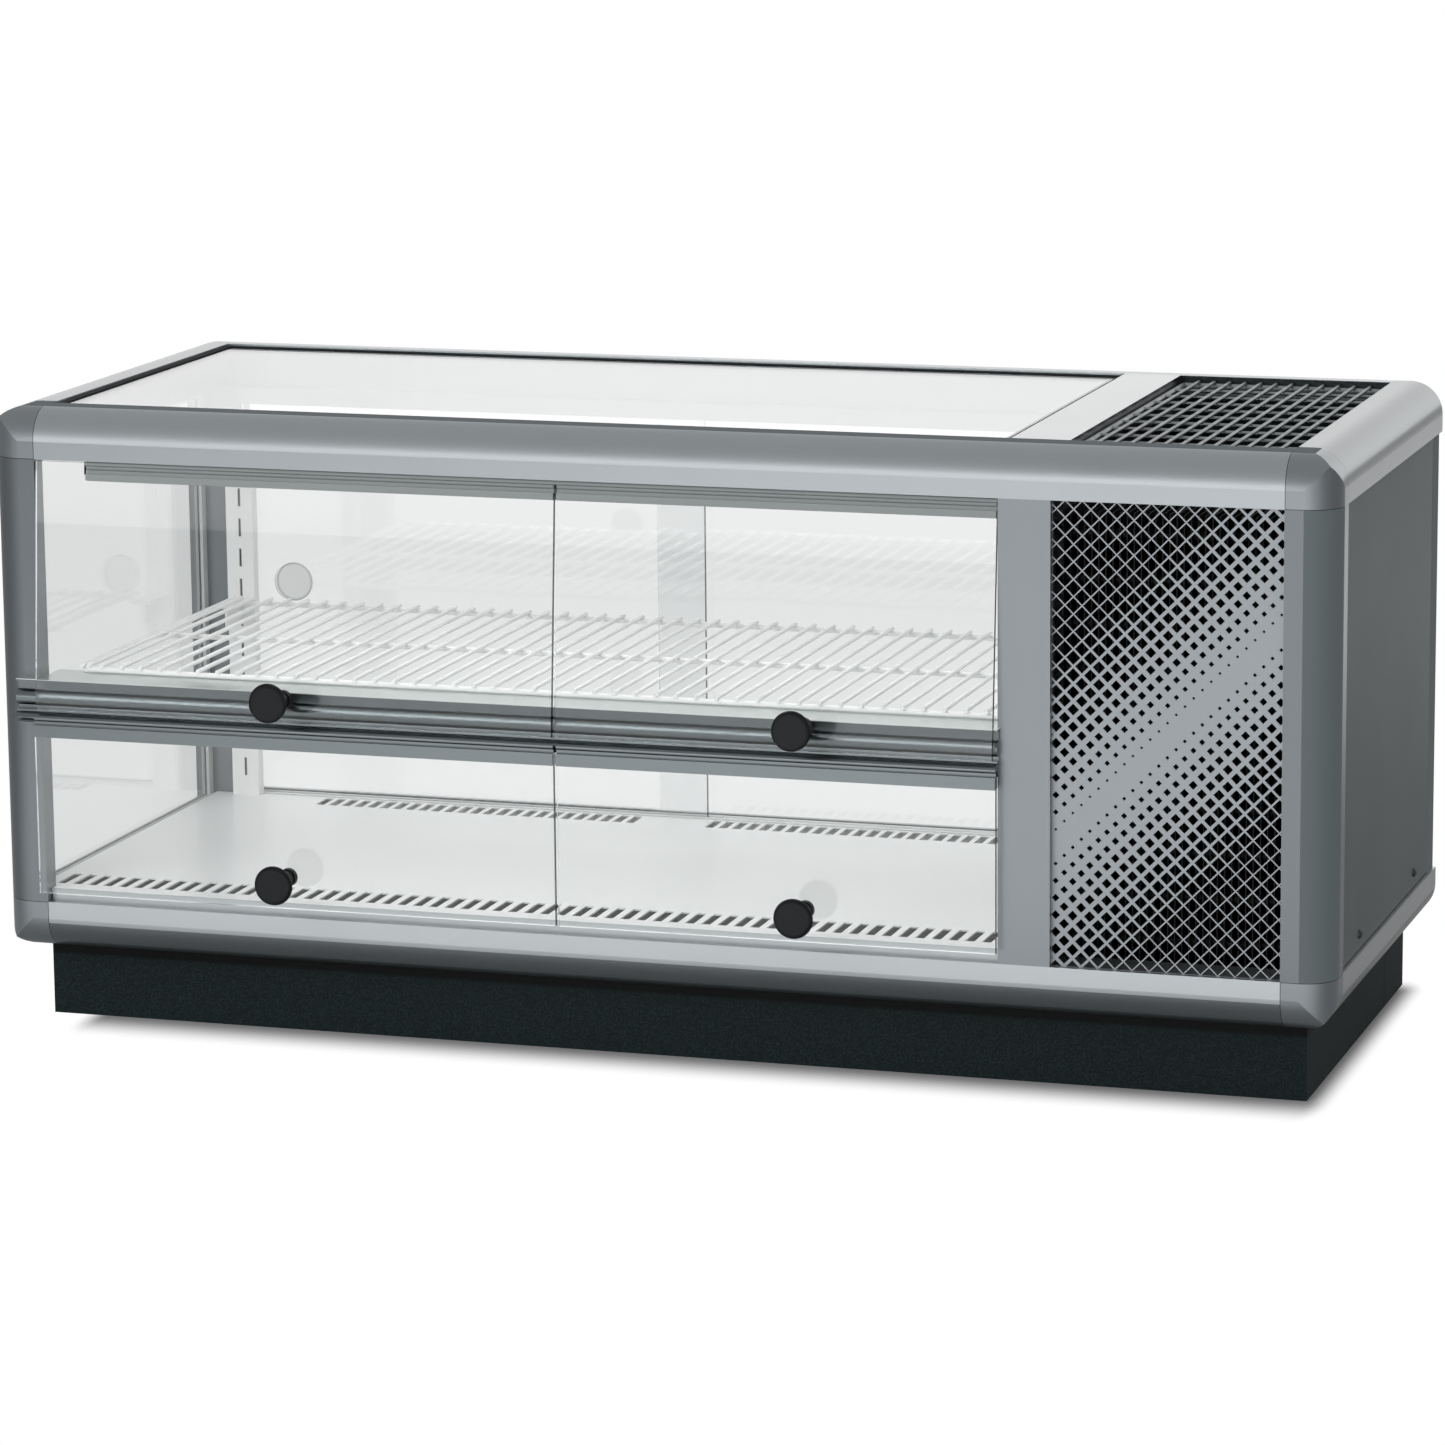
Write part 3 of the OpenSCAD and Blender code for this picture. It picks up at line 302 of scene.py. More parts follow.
floor_seen, floor_mirrored = eye_rays(floor_graph)
glow = white * (1.0 - floor_mirrored) + in_front.most(behind) * beside * floor_mirrored
sheet_level = 1.0 + floor_mirrored * (FRONT_SHEET - 1.0)
plain_white = floor_graph.add(
    "ShaderNodeEmission", None, {"Color": (1.0, 1.0, 1.0, 1.0), "Strength": sheet_level}
)
floor_mix = floor_graph.add(
    "ShaderNodeMixShader", None,
    {
        0: floor_seen * glow,
        1: Wire(floor_graph, floor_shader.outputs["BSDF"]),
        2: plain_white["Emission"],
    },
)
floor_out = floor_paint.node_tree.nodes["Material Output"]
floor_paint.node_tree.links.new(floor_mix["Shader"].socket, floor_out.inputs["Surface"])
floor.data.materials.append(floor_paint)
print("floor half width", FLOOR_HALF, "m")

# %% [markdown]
# ## A finish
#
# Each finish starts from the Principled shader. A finish object keeps its graph and hands out the
# textures that most metals and paints share: grain at a chosen size, and a bump from that grain.

# %% Finish helper
PER_MM = 1000.0


def paint(code):
    """A colour written as on a paint card, as linear light."""
    levels = [int(code[i:i + 2], 16) / 255 for i in (1, 3, 5)]
    linear = [c / 12.92 if c <= 0.04045 else ((c + 0.055) / 1.055) ** 2.4 for c in levels]
    return (*linear, 1.0)


class Finish(Graph):
    """A material of one name, with its shader and shared textures."""

    def __init__(self, name, **sockets):
        self.material = bpy.data.materials.new(name)
        self.material.use_nodes = True
        super().__init__(self.material.node_tree)
        self.shader = self.tree.nodes["Principled BSDF"]
        self.place = self.add("ShaderNodeTexCoord")["Object"]
        self.surface(sockets)

    def surface(self, sockets):
        for key, value in sockets.items():
            self.feed(self.shader, key.replace("_", " "), value)

    def stretched(self, scale):
        return self.add("ShaderNodeMapping", None, {"Vector": self.place, "Scale": scale})["Vector"]

    def grain(self, size_mm, detail=2.0, stretch=None):
        """Noise from 0 to 1 whose grains are about this large."""
        where = self.stretched(stretch) if stretch else self.place
        return self.add(
            "ShaderNodeTexNoise", None,
            {"Vector": where, "Scale": PER_MM / size_mm, "Detail": detail},
        )["Fac"]

    def between(self, mask, low, high):
        """A number from low to high as the mask goes from 0 to 1."""
        return mask * (high - low) + low

    def blend(self, mask, first, second):
        """A colour from first to second as the mask goes from 0 to 1."""
        return self.add(
            "ShaderNodeMix", {"data_type": "RGBA"}, {"Factor": mask, "A": first, "B": second}
        )["Result"]

    def ramp(self, mask, stops):
        return self.add("ShaderNodeValToRGB", {"stops": stops}, {"Fac": mask})["Color"]

    def raised(self, mask, depth_mm, strength=1.0):
        """A normal from a height mask."""
        return self.add(
            "ShaderNodeBump", None, {"Height": mask, "Distance": depth_mm / PER_MM, "Strength": strength}
        )["Normal"]

    def axes(self):
        return self.add("ShaderNodeSeparateXYZ", None, {"Vector": self.place})


def shade(code, factor):
    """The same paint, lighter or darker."""
    red, green, blue, alpha = paint(code)
    return (min(1.0, red * factor), min(1.0, green * factor), min(1.0, blue * factor), alpha)


print("finish helper ready")


# %% [markdown]
# ## Silver frame
#
# Rails, posts and corners are aluminium with a satin silver coat under a clear lacquer. Up close the coat
# is a fine flake, so two grains of noise move the colour and the roughness by a few percent, and a faint
# bump breaks up the reflection. The lacquer is a coat on the shader: seen at a low angle, it is what
# makes the top faces pale. Where the flat of a sill or of the right post turns into its curve, the coat
# changes to a darker or duller grey, a painted shade that gives the curve a crisp start, as on the real
# section.

# %% Silver coat
FLAKE_MM = 0.5
CLOUD_MM = 60.0
SEAM_AND_SHADE_DARK = "#23282a"
DULL_GREY = "#5b6164"
DULL_ROUGH = 0.95


def silver_coat(name, code, metal=0.75, rough=0.36, lacquer=0.6, seams_and_shade=None, seam_and_shade_code=SEAM_AND_SHADE_DARK,
                dull=None, dull_code=DULL_GREY):
    """Satin silver, with a mask for dark joint lines and painted shade, and a mask for a dull part without
    lacquer.
    """
    finish = Finish(name, Metallic=metal, Coat_Weight=lacquer, Coat_Roughness=0.16)
    flake = finish.grain(FLAKE_MM)
    cloud = finish.grain(CLOUD_MM)
    tone = finish.between(flake, 0.0, 0.7) + finish.between(cloud, 0.0, 0.3)
    colour = finish.blend(tone, shade(code, 0.9), shade(code, 1.1))
    if seams_and_shade:
        colour = finish.blend(seams_and_shade(finish), colour, paint(seam_and_shade_code))
    roughness = finish.between(flake, rough - 0.05, rough + 0.05) + finish.between(cloud, -0.02, 0.02)
    if dull:
        mask = dull(finish)
        colour = finish.blend(mask, colour, paint(dull_code))
        roughness = roughness.most(mask * DULL_ROUGH)
        finish.surface({
            "Metallic": finish.between(mask, metal, 0.0),
            "Coat Weight": finish.between(mask, lacquer, 0.0),
        })
    finish.surface({
        "Base Color": colour,
        "Roughness": roughness,
        "Normal": finish.raised(flake, 0.02, 0.25),
    })
    return finish.material


SILL_CURVE = 0.026
POST_CURVE = 0.0295
FLAT_REACH = 0.004
TOP_SKIN = 0.0004
front_flat_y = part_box("top_glass")[0].y + FLAT_REACH
rail_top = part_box("front_top_rail")[1].z - TOP_SKIN


def front_flat(finish):
    """The narrow flat of the front rail beside the top glass, in a darker, duller grey."""
    axes = finish.axes()
    return (axes["Z"] > rail_top) * (axes["Y"] < front_flat_y)


sill_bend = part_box("front_bottom_rail")[0].z + SILL_CURVE


def sill_curve(finish):
    """The rounded lower edge of a sill, painted darker than its flat as shade."""
    return finish.axes()["Z"] < sill_bend


post_low, post_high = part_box("right_front_post")


def post_curve(finish):
    """The rounded outer edge of the right post, made dull as painted shade, darker than its two flats."""
    axes = finish.axes()
    return (axes["X"] > post_high.x - POST_CURVE) * (axes["Y"] < post_low.y + POST_CURVE)


# The same coat comes in copies of different lightness, which paint in the light and shade of each part:
# lightest on the sills and the front rail, darker on the side rails, the divider and the posts, darkest on
# the right post.
silver = silver_coat("satin_silver", "#a2a8ab", dull=front_flat)
side_silver = silver_coat("side_silver", "#7f8588", dull=front_flat)
sill_silver = silver_coat("sill_silver", "#b2b7ba", seams_and_shade=sill_curve, seam_and_shade_code="#70767a")
left_post_silver = silver_coat("left_post_silver", "#70767a")
right_post_silver = silver_coat("right_post_silver", "#6a7074", dull=post_curve, dull_code="#747e80")
divider_silver = silver_coat("divider_silver", "#7e8488")
grille_silver = silver_coat("grille_silver", "#92979b", metal=0.6, rough=0.4, lacquer=0.1)
lamp_grey = silver_coat("lamp_grey", "#969b9c", metal=0.2, rough=0.55, lacquer=0.0)
print("silver finishes", silver.name, sill_silver.name, grille_silver.name, lamp_grey.name)

# %% [markdown]
# The cast corners meet the rails and posts in hairline joints. The metal runs straight across, so the
# joint is only a dark line on the last half millimetre of each casting, found from the ends of its
# neighbours. The rear post on the machine side is dull grey, like the cover that meets it, and the walls
# round the wire grid are painted dark as its shade. The rear sill is white on the side of the deck.

# %% Cast corners
JOINT_LINE = 0.0006
WALL_SKIN = 0.002
SILL_INNER = 0.016
joint_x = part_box("front_top_rail")[1].x
joint_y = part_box("left_top_rail")[0].y
joint_low, joint_high = (corner.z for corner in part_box("left_front_post"))


def joint_lines(finish):
    """The hairlines at which the castings meet rails and posts."""
    axes = finish.axes()
    across = abs(abs(axes["X"]) - joint_x) < JOINT_LINE
    along = abs(axes["Y"] - joint_y) < JOINT_LINE
    below = abs(axes["Z"] - joint_low) < JOINT_LINE
    above = abs(axes["Z"] - joint_high) < JOINT_LINE
    return across.most(along).most(below.most(above))


def machine_side(finish):
    """The half of the case that holds the machine."""
    return finish.axes()["X"] > 0.0


grid_low, grid_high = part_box("top_grid")


def grid_walls(finish):
    """The walls round the wire grid, painted dark as the shadow they lie in."""
    axes = finish.axes()
    beside = abs(axes["X"] - grid_low.x) < WALL_SKIN
    behind = (abs(axes["Y"] - grid_high.y) < WALL_SKIN) * (axes["X"] > grid_low.x)
    return beside.most(behind) * (axes["Z"] < rail_top)


sill_inner_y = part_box("rear_bottom_rail")[0].y + SILL_INNER


def sill_inside(finish):
    """The side of the rear sill that faces the deck."""
    return finish.axes()["Y"] < sill_inner_y


rear_sill = silver_coat("rear_sill", "#989ea1", dull=sill_inside, dull_code="#e9eaea")
plate_silver = silver_coat("plate_silver", "#999ea0", metal=0.7, rough=0.3, lacquer=0.7, seams_and_shade=grid_walls)
rear_silver = silver_coat("rear_silver", "#989ea1", seams_and_shade=grid_walls)
# The corners take a darker copy of the coat, as painted shade.
cast_silver = silver_coat("cast_silver", "#858b8f", rough=0.4, seams_and_shade=joint_lines, dull=front_flat)
rear_post_silver = silver_coat(
    "rear_post_silver", "#7c8286", rough=0.4, lacquer=0.3, dull=machine_side, dull_code="#767d80"
)
print("joints at", round(joint_x, 3), round(joint_y, 3), round(joint_low, 3), round(joint_high, 3))

# %% [markdown]
# The covers of the machine end are sheet steel, painted grey outside and painted dark on the inner side
# as the shade of the machine end. The inner side is found from how far a point lies behind the outer face.
# The side cover is a darker, flatter grey than the frame, so it has little gloss of its own. Along its
# front and lower edges a dark band is painted as the shadow in the gap round it.

# %% Machine covers
COVER_SHADE_DARK = "#15191a"
SKIN = 0.001
LOUVRE_RISE = 0.0045
GAP_SHADOW_FRONT = 0.0035
GAP_SHADOW_LOW = 0.0016


def cover_coat(name, code, axis, outer, gloss, gap=None):
    """Painted sheet, with painted shade behind its outer face and painted shadow where the gap mask says
    so.
    """
    finish = Finish(name, Metallic=0.1, Specular_IOR_Level=gloss)
    painted_shade = finish.axes()[axis] < outer - SKIN
    if gap:
        painted_shade = painted_shade.most(gap(finish))
    flake = finish.grain(0.8)
    cloud = finish.grain(120.0)
    outside = finish.blend(cloud, shade(code, 0.88), shade(code, 1.12))
    finish.surface({
        "Base Color": finish.blend(painted_shade, outside, paint(COVER_SHADE_DARK)),
        "Roughness": finish.between(flake, 0.42, 0.56),
        "Normal": finish.raised(flake, 0.03, 0.25),
    })
    return finish.material


side_low, side_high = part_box("right_side_panel")
back_low, back_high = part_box("rear_louvre_panel")
back_face = back_high.y - LOUVRE_RISE


def cover_gap(finish):
    """The front and lower edge of the side cover, painted dark as the shadow in the gap there."""
    axes = finish.axes()
    return (axes["Y"] < side_low.y + GAP_SHADOW_FRONT).most(axes["Z"] < side_low.z + GAP_SHADOW_LOW)


side_cover = cover_coat("side_grey", "#646c6e", "X", side_high.x, 0.3, cover_gap)
back_cover = cover_coat("louvre_grey", "#7d8387", "Y", back_face, 0.4)
print("covers", side_cover.name, back_cover.name)


# %% [markdown]
# ## Textured black plinth
#
# The plinth is steel with a rough black powder coat. The coat is a field of small soft pimples, so a fine
# noise is cut to leave only its peaks, and those catch a little more light. A dark line marks the seam of
# its two pieces, and its upper edge is painted dark as the shade of the rail.

# %% Plinth coat
SEAM_HALF = 0.002
SEAM_AND_SHADE_BLACK = "#040606"
RAIL_SHADE = 0.055
RAIL_DARK = 0.06


def powder_coat(name, code, pimple_mm, rough, gloss, seam=None):
    """Black powder; on the plinth, a dark seam at this depth and painted shade under the rail."""
    finish = Finish(name, Specular_IOR_Level=gloss)
    peaks = finish.ramp(finish.grain(pimple_mm, 3.0), [(0.45, 0.0), (0.68, 1.0)])
    speck = finish.grain(pimple_mm * 0.5)
    tone = finish.add("ShaderNodeRGBToBW", None, {"Color": peaks})["Val"]
    colour = finish.blend(tone, shade(code, 0.75), shade(code, 1.9))
    if seam:
        on_seam = abs(finish.axes()["Y"] - seam) < SEAM_HALF
        # Painted shade along the top, under the rail.
        under_rail = eased(finish, finish.axes()["Z"], RAIL_SHADE, RAIL_DARK, 0.0, 1.0)
        colour = finish.blend(on_seam.most(under_rail), colour, paint(SEAM_AND_SHADE_BLACK))
    finish.surface({
        "Base Color": colour,
        "Roughness": finish.between(speck, rough - 0.08, rough + 0.08),
        "Normal": finish.raised(tone, 0.25, 0.5),
    })
    return finish.material


plinth_black = powder_coat("plinth_black", "#172223", 1.6, 0.68, 0.2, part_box("plinth_front")[1].y)
machine_black = powder_coat("machine_black", "#121415", 3.0, 0.6, 0.3)
pan_black = powder_coat("pan_black", "#16191a", 2.4, 0.8, 0.2)
print("powder coats", plinth_black.name, machine_black.name, pan_black.name)


# %% [markdown]
# ## White enamel
#
# The deck, the wire shelf and the uprights are white, dipped or stoved. The coat is smooth with a faint
# orange peel, and it greys a little in the broad tone.

# %% White coat
def white_coat(name, code, rough):
    finish = Finish(name, Coat_Weight=0.15)
    peel = finish.grain(2.2, 1.0)
    cloud = finish.grain(90.0)
    finish.surface({
        "Base Color": finish.blend(cloud, shade(code, 0.96), shade(code, 1.02)),
        "Roughness": finish.between(peel, rough - 0.05, rough + 0.05),
        "Normal": finish.raised(peel, 0.05, 0.2),
    })
    return finish.material


enamel = white_coat("white_enamel", "#f9f9f9", 0.32)
print("white finish", enamel.name)

# %% [markdown]
# The light tube is switched on, at a low level that brightens the shelf and the deck without whitening
# them.

# %% Light tube
TUBE_GLOW = 7.0
tube_light = Finish("tube_white", Roughness=0.25, Emission_Strength=TUBE_GLOW)
tube_cloud = tube_light.grain(30.0)
tube_light.surface({
    "Base Color": tube_light.blend(tube_cloud, paint("#f6f6f0"), paint("#fbfbf6")),
    "Emission Color": tube_light.blend(tube_cloud, paint("#fbfbf6"), paint("#ffffff")),
})
print("tube level", TUBE_GLOW)

# %% [markdown]
# The deck is the same white, but its front edge is a bare metal lip. The lip is part of the deck, so the
# finish turns to metal on the front millimetre.

# %% Deck with a metal lip
LIP_DEPTH = 0.001
DECK_WHITE = "#eeefef"
deck_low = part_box("deck")[0]
deck_coat = Finish("deck_enamel", Coat_Weight=0.15)
on_lip = deck_coat.axes()["Y"] < deck_low.y + LIP_DEPTH
deck_cloud = deck_coat.grain(90.0)
deck_white = deck_coat.blend(deck_cloud, shade(DECK_WHITE, 0.96), shade(DECK_WHITE, 1.02))
deck_coat.surface({
    "Base Color": deck_coat.blend(on_lip, deck_white, paint("#a3a8aa")),
    "Metallic": on_lip * 0.9,
    "Roughness": deck_coat.between(deck_coat.grain(2.2, 1.0), 0.27, 0.37),
})
print("deck lip at", round(deck_low.y, 4))

# %% [markdown]
# The partition is white towards the food and painted dark towards the machine as the shade of the machine
# end, so its finish changes across its thickness.

# %% Two-sided partition
DARK_SKIN = 0.004
part_low, part_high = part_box("partition")
partition_coat = Finish("partition_coat")
machine_face_shade = partition_coat.axes()["X"] > part_high.x - DARK_SKIN
partition_coat.surface({
    "Base Color": partition_coat.blend(machine_face_shade, paint("#e6e7e7"), paint("#131616")),
    "Roughness": partition_coat.between(partition_coat.grain(1.5), 0.3, 0.45),
})
print("partition from", round(part_low.x, 3), "to", round(part_high.x, 3))


# %% [markdown]
# ## Bare metals
#
# The middle rail is drawn aluminium, with fine lines along its length, and the top of its ledge carries a
# painted highlight. The wire grid on top is plated, and screws are dark steel. Inside, the fan motor is
# galvanised and the lines are copper with a brown tarnish.

# %% Metals
ALONG_X = (0.01, 1.0, 1.0)
LEDGE_SKIN = 0.0006
LEDGE_HIGHLIGHT = "#dfe4e1"


def drawn_metal(name, code, rough, stretch, highlight_above=None):
    finish = Finish(name, Metallic=1.0)
    lines = finish.grain(1.0, 2.0, stretch)
    cloud = finish.grain(40.0)
    colour = finish.blend(lines, shade(code, 0.94), shade(code, 1.05))
    # A painted highlight on the top face of the ledge.
    if highlight_above:
        colour = finish.blend(finish.axes()["Z"] > highlight_above, colour, paint(LEDGE_HIGHLIGHT))
    finish.surface({
        "Base Color": colour,
        "Roughness": finish.between(lines, rough - 0.04, rough + 0.04) + finish.between(cloud, -0.03, 0.03),
        "Normal": finish.raised(lines, 0.01, 0.1),
    })
    return finish.material


def tarnished_metal(name, code, dull_code, rough):
    finish = Finish(name, Metallic=1.0)
    stain = finish.grain(14.0, 4.0)
    finish.surface({
        "Base Color": finish.blend(stain, paint(code), paint(dull_code)),
        "Roughness": finish.between(stain, rough, rough + 0.25),
    })
    return finish.material


ledge_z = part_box("mid_rail")[1].z
rail_metal = drawn_metal("rail_aluminium", "#747b7d", 0.3, ALONG_X, ledge_z - LEDGE_SKIN)
ferrule_metal = drawn_metal("ferrule_aluminium", "#b9bdbf", 0.3, ALONG_X)
plated_wire = tarnished_metal("plated_wire", "#aeb3b4", "#8d9294", 0.3)
galvanised = tarnished_metal("galvanised_steel", "#a9adaf", "#8e9294", 0.35)
screw_steel = tarnished_metal("screw_steel", "#5b6164", "#3b4144", 0.35)
fin_metal = tarnished_metal("fin_aluminium", "#b9bcbd", "#9ea2a4", 0.4)
copper = tarnished_metal("copper_line", "#b87349", "#74452c", 0.3)
print("metals", rail_metal.name, plated_wire.name, galvanised.name, fin_metal.name, copper.name)


# %% [markdown]
# ## Black plastic and rubber
#
# Knobs, gaskets and the switch gear are moulded. A fine spark-eroded grain keeps them from looking wet.

# %% Moulded blacks
def moulded(name, code, rough, grain_mm, gloss):
    finish = Finish(name, Specular_IOR_Level=gloss)
    grain = finish.grain(grain_mm)
    cloud = finish.grain(12.0)
    finish.surface({
        "Base Color": finish.blend(cloud, shade(code, 0.85), shade(code, 1.2)),
        "Roughness": finish.between(grain, rough - 0.07, rough + 0.07),
        "Normal": finish.raised(grain, 0.04, 0.3),
    })
    return finish.material


knob_black = moulded("knob_black", "#0c0f11", 0.48, 0.5, 0.25)
dial_black = moulded("dial_black", "#1b1e20", 0.5, 0.6, 0.3)
switch_black = moulded("switch_black", "#1d2022", 0.5, 0.6, 0.4)
rocker_white = moulded("rocker_white", "#dfe1de", 0.4, 0.6, 0.4)
print("moulded", knob_black.name, dial_black.name, switch_black.name, rocker_white.name)

# %% [markdown]
# The top glass lies in a black rubber gasket. The end glass has the same strip in pale grey, so the
# finish changes at the height of the post's upper end.

# %% Gaskets
GASKET_STEP = 0.001
gasket = Finish("gasket_rubber", Specular_IOR_Level=0.3)
in_end = gasket.axes()["Z"] < joint_high + GASKET_STEP
gasket_grain = gasket.grain(0.8)
gasket.surface({
    "Base Color": gasket.blend(in_end, paint("#1b1e20"), paint("#c2c5c5")),
    "Roughness": gasket.between(gasket_grain, 0.62, 0.78),
    "Normal": gasket.raised(gasket_grain, 0.04, 0.3),
})
print("gasket changes at", round(joint_high, 3))


# %% [markdown]
# ## Glass
#
# A pane is clear on its faces and green at its cut edges, where light runs the long way through it. The
# face is found from the pane's own normal. Lamps would not reach the shelf through a refracting pane in
# few samples, so rays towards a lamp pass straight through.

# %% Panes
EDGE_FACING = 0.7
LAMP_TINT = (0.94, 0.95, 0.945, 1.0)
GROUND_WHITE = "#d3d5d4"
RIM_SHADE_GREY = "#9da3a1"


def pane_glass(name, axis, clear, edge, frosted=None):
    """A pane whose faces look along one axis, with ground spots where a mask says so."""
    finish = Finish(name, IOR=1.5, Transmission_Weight=1.0)
    normal = finish.add("ShaderNodeTexCoord")["Normal"]
    facing = finish.add("ShaderNodeSeparateXYZ", None, {"Vector": normal})[axis]
    on_edge = abs(facing) < EDGE_FACING
    wipe = finish.grain(35.0, 3.0)
    colour = finish.blend(on_edge, paint(clear), paint(edge))
    roughness = finish.between(wipe, 0.0, 0.015) + on_edge * 0.12
    if frosted:
        ground, rim_shade = frosted(finish)
        colour = finish.blend(ground, colour, paint(GROUND_WHITE))
        colour = finish.blend(rim_shade, colour, paint(RIM_SHADE_GREY))
        roughness = roughness + ground * 0.4
    finish.surface({"Base Color": colour, "Roughness": roughness})
    path = finish.add("ShaderNodeLightPath")
    straight = finish.add("ShaderNodeBsdfTransparent", None, {"Color": LAMP_TINT})
    shader = Wire(finish, finish.shader.outputs["BSDF"])
    mixed = finish.add(
        "ShaderNodeMixShader", None,
        {0: path["Is Shadow Ray"], 1: shader, 2: straight["BSDF"]},
    )
    output = finish.tree.nodes["Material Output"]
    finish.tree.links.new(mixed["Shader"].socket, output.inputs["Surface"])
    return finish.material


flap_pane = pane_glass("flap_glass", "Y", "#f4f5f5", "#5f7f76")
# The end pane is tinted greyer than the others, as painted shade for the darker room seen through it.
end_pane = pane_glass("end_glass", "X", "#e7e8e8", "#4f6f66")
top_pane = pane_glass("top_glass", "Z", "#fcfdfc", "#4f6f66")
print("glass", flap_pane.name, end_pane.name, top_pane.name)

# %% [markdown]
# Each sliding door has a shallow round finger pull, ground matt, with a darker rim painted as the shade
# at the edge of the recess. The two pulls are found by their middles, and there the pane is rough.

# %% Sliding doors
PULL_RADIUS = 0.019
PULL_HEIGHT = 0.342
PULL_INSET = 0.051
PULL_RIM = 0.0016
door_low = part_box("rear_door_left")[0]
door_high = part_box("rear_door_right")[1]


def ground_pulls(finish):
    """Two masks: the discs of both finger pulls, and their rims, which carry painted shade."""
    axes = finish.axes()
    rise = axes["Z"] - PULL_HEIGHT
    left = axes["X"] - (door_low.x + PULL_INSET)
    right = axes["X"] - (door_high.x - PULL_INSET)
    off_middle = (left * left).least(right * right) + rise * rise
    disc = off_middle < PULL_RADIUS ** 2
    return disc, disc * (off_middle > (PULL_RADIUS - PULL_RIM) ** 2)


door_pane = pane_glass("door_glass", "Y", "#f0f1f1", "#5f7f76", ground_pulls)
print("finger pulls at", round(door_low.x + PULL_INSET, 3), round(door_high.x - PULL_INSET, 3))

# %% [markdown]
# ## Dressing the case
#
# The shapes of the frame are right as they stand, so each node only changes its material.

# %% Finishes on the nodes
DRESS = [
    (silver, ["front_top_rail"]),
    (side_silver, ["left_top_rail", "right_top_rail"]),
    (rear_sill, ["rear_bottom_rail"]),
    (rear_silver, ["rear_top_rail"]),
    (sill_silver, ["front_bottom_rail", "side_bottom_rails"]),
    (left_post_silver, ["left_front_post"]),
    (right_post_silver, ["right_front_post"]),
    (rear_post_silver, ["rear_posts"]),
    (divider_silver, ["divider"]),
    (cast_silver, ["corner_castings"]),
    (plate_silver, ["top_plate"]),
    (back_cover, ["rear_louvre_panel"]),
    (side_cover, ["right_side_panel"]),
    (plinth_black, ["plinth_front", "plinth_rear"]),
    (grille_silver, ["front_grille"]),
    (lamp_grey, ["light_housing", "upper_hinge_strip", "upper_left_hinge", "upper_right_hinge"]),
    (plated_wire, ["top_grid"]),
    (rail_metal, ["mid_rail", "lower_left_hinge", "lower_right_hinge"]),
    (enamel, ["wire_shelf", "shelf_supports"]),
    (deck_coat.material, ["deck"]),
    (partition_coat.material, ["partition"]),
    (pan_black, ["base_well"]),
    (tube_light.material, ["light_tube"]),
    (gasket.material, ["glazing_gaskets"]),
    (knob_black, ["upper_left_knob", "upper_right_knob", "lower_left_knob", "lower_right_knob"]),
    (dial_black, ["thermostat_dial"]),
    (switch_black, ["control_box", "cable_gland", "evaporator_fan_frame", "evaporator_fan"]),
    (rocker_white, ["rocker_switch"]),
    # The machine tray takes this black as well, as painted shade for the dark inside of the machine end.
    (machine_black, ["condenser", "condenser_shroud", "condenser_fan", "compressor", "machine_tray"]),
    (galvanised, ["condenser_fan_motor"]),
    (fin_metal, ["evaporator"]),
    (copper, ["refrigerant_lines"]),
    (flap_pane, [
        "upper_left_glass", "upper_right_glass", "lower_left_glass", "lower_right_glass",
    ]),
    (door_pane, ["rear_door_left", "rear_door_right"]),
    (end_pane, ["left_end_glass"]),
    (top_pane, ["top_glass"]),
]

for material, names in DRESS:
    for name in names:
        nodes[name].data.materials.clear()
        nodes[name].data.materials.append(material)
plain = sorted(set(nodes) - {name for _, names in DRESS for name in names})
print("dressed", len(nodes) - len(plain), "left plain", plain)

# %% [markdown]
# ## Screws
#
# Two screws hold the side panel and four hold the louvred panel at the back. A screw head is a turned
# shape, so its outline is spun round its axis once, with the driver socket as part of the outline.

# %% Screw heads
HEAD_RADIUS = 0.0042
SPIN_STEPS = 24
MERGE_WITHIN = 1e-6
SIDE_SCREW_RISE = 0.015
SIDE_SCREW_DEPTHS = (-0.081, 0.172)
BACK_INSET = 0.012
SCREW_OUTLINE = [
    (0.0, 0.3), (0.38, 0.3), (0.42, 0.62), (0.62, 0.58),
    (0.86, 0.36), (1.0, 0.05), (1.0, -0.1), (0.0, -0.1),
]


def turned(shape, outline, scale, place, direction):
    """Spins an outline of (radius, height) pairs round an axis."""
    turn = Vector((0, 0, 1)).rotation_difference(Vector(direction)).to_matrix()
    spots = [Vector(place) + turn @ Vector((r * scale, 0, h * scale)) for r, h in outline]
    points = [shape.verts.new(spot) for spot in spots]
    edges = [shape.edges.new(pair) for pair in zip(points, points[1:])]
    bmesh.ops.spin(
        shape, geom=points + edges, cent=place, axis=direction,
        angle=2 * math.pi, steps=SPIN_STEPS, use_merge=True,
    )


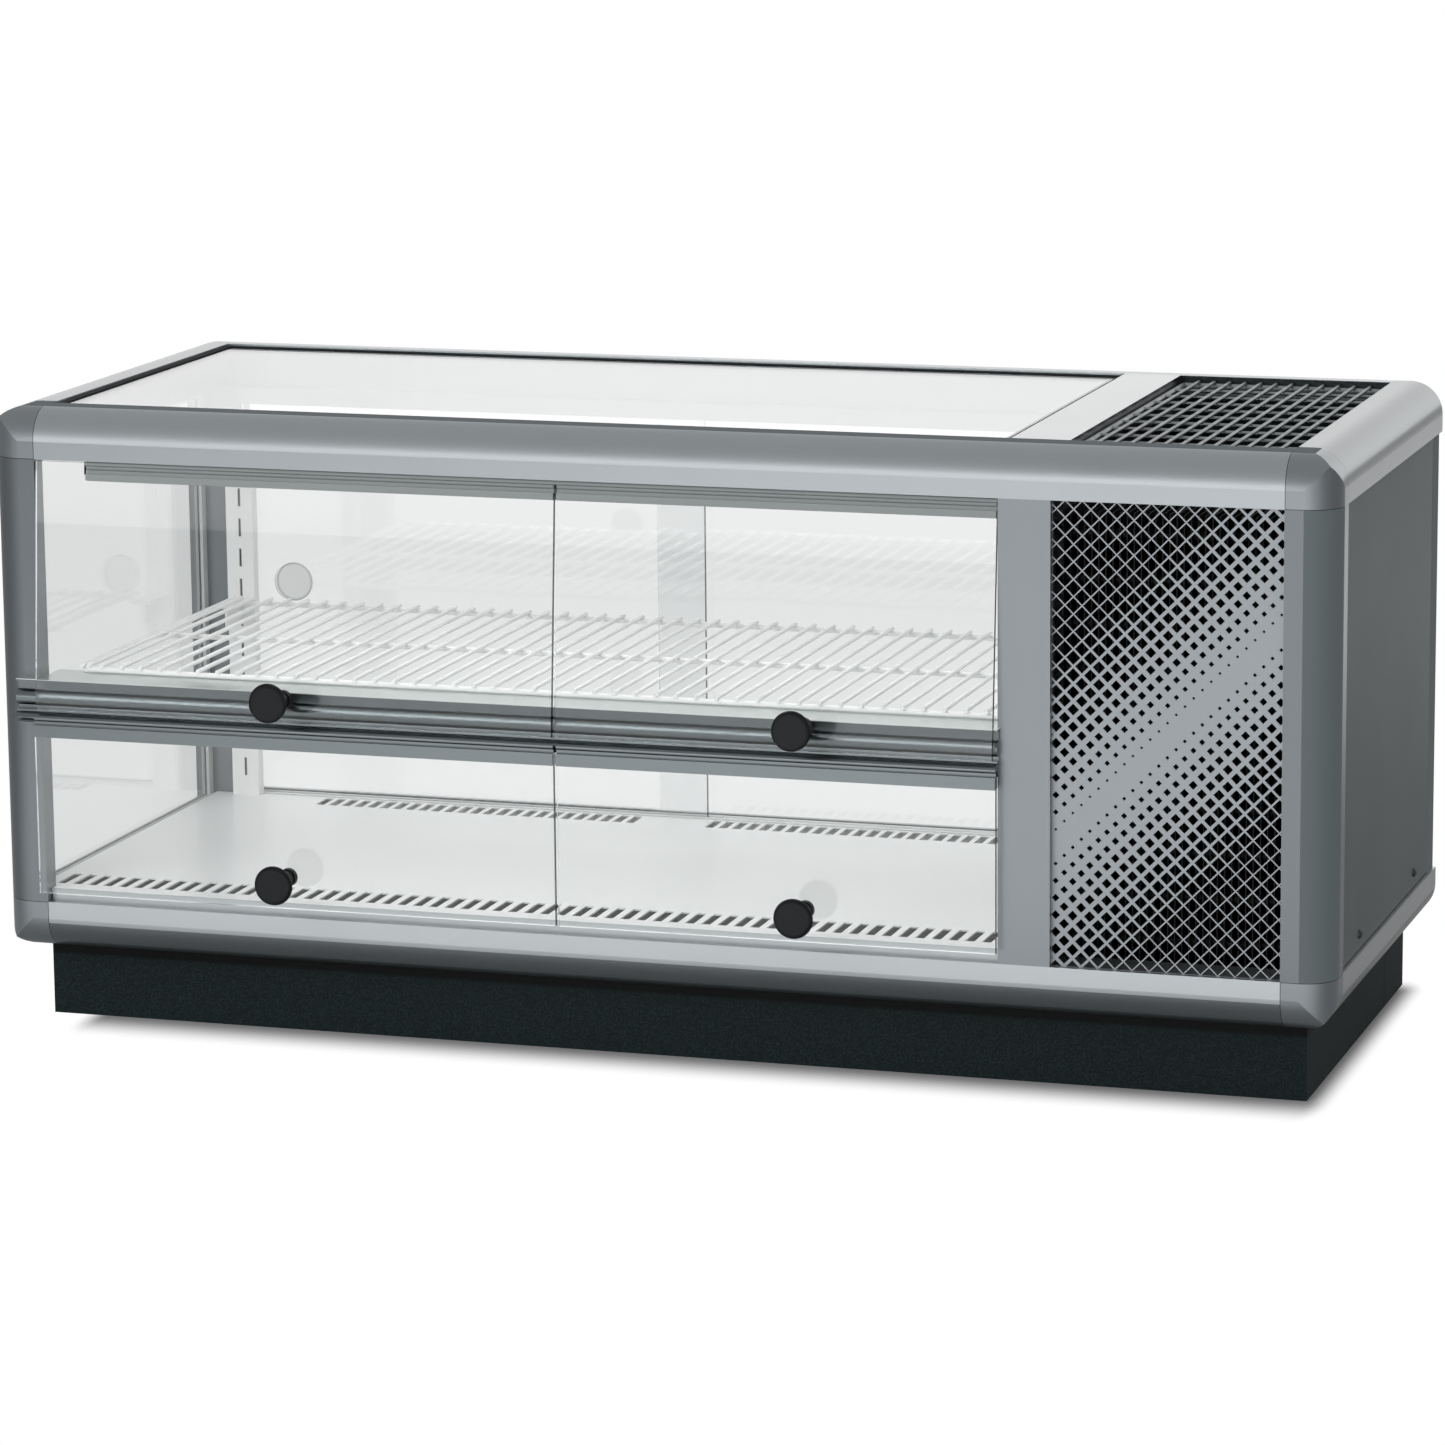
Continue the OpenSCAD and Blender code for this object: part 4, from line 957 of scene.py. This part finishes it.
def closed_up(shape):
    """Merges the seam and the poles, and turns every face outwards."""
    bmesh.ops.remove_doubles(shape, verts=shape.verts, dist=MERGE_WITHIN)
    bmesh.ops.recalc_face_normals(shape, faces=shape.faces)
    for face in shape.faces:
        face.smooth = True


def screw_heads(name, places, direction):
    """One piece of equal screw heads that face one way."""
    shape = bmesh.new()
    for place in places:
        turned(shape, SCREW_OUTLINE, HEAD_RADIUS, place, direction)
    closed_up(shape)
    piece = mesh_piece(name, shape)
    piece.data.materials.append(screw_steel)
    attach(piece, "case")
    return piece


side_screws = screw_heads(
    "side_panel_screws",
    [(side_high.x, y, side_low.z + SIDE_SCREW_RISE) for y in SIDE_SCREW_DEPTHS],
    (1, 0, 0),
)
back_screws = screw_heads(
    "louvre_panel_screws",
    [
        (x, back_face, z)
        for x in (back_low.x + BACK_INSET, back_high.x - BACK_INSET)
        for z in (back_low.z + BACK_INSET, back_high.z - BACK_INSET)
    ],
    (0, 1, 0),
)
print("screws", len(side_screws.data.polygons), len(back_screws.data.polygons), "faces")

# %% [markdown]
# ## Ends of the light tube
#
# A tube has a metal ferrule at each end. It is turned like the screws, a hair larger than the glass.

# %% Tube ferrules
FERRULE_LENGTH = 0.014
FERRULE_FIT = 0.0002
SHARP_ANGLE = math.radians(35)
tube_low, tube_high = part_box("light_tube")
tube_radius = (tube_high.z - tube_low.z) / 2 + FERRULE_FIT
tube_y = (tube_low.y + tube_high.y) / 2
tube_z = (tube_low.z + tube_high.z) / 2
length = FERRULE_LENGTH / tube_radius
ferrule_outline = [
    (0.0, 0.0), (1.0, 0.0), (1.0, length * 0.86), (1.03, length * 0.9),
    (1.03, length), (0.97, length), (0.0, length),
]
ferrule_shape = bmesh.new()
turned(ferrule_shape, ferrule_outline, tube_radius, (tube_low.x, tube_y, tube_z), (1, 0, 0))
turned(ferrule_shape, ferrule_outline, tube_radius, (tube_high.x, tube_y, tube_z), (-1, 0, 0))
closed_up(ferrule_shape)
ferrules = mesh_piece("tube_ferrules", ferrule_shape)
ferrules.data.set_sharp_from_angle(angle=SHARP_ANGLE)
ferrules.data.materials.append(ferrule_metal)
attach(ferrules, "case")
print("ferrules", len(ferrules.data.polygons), "faces")
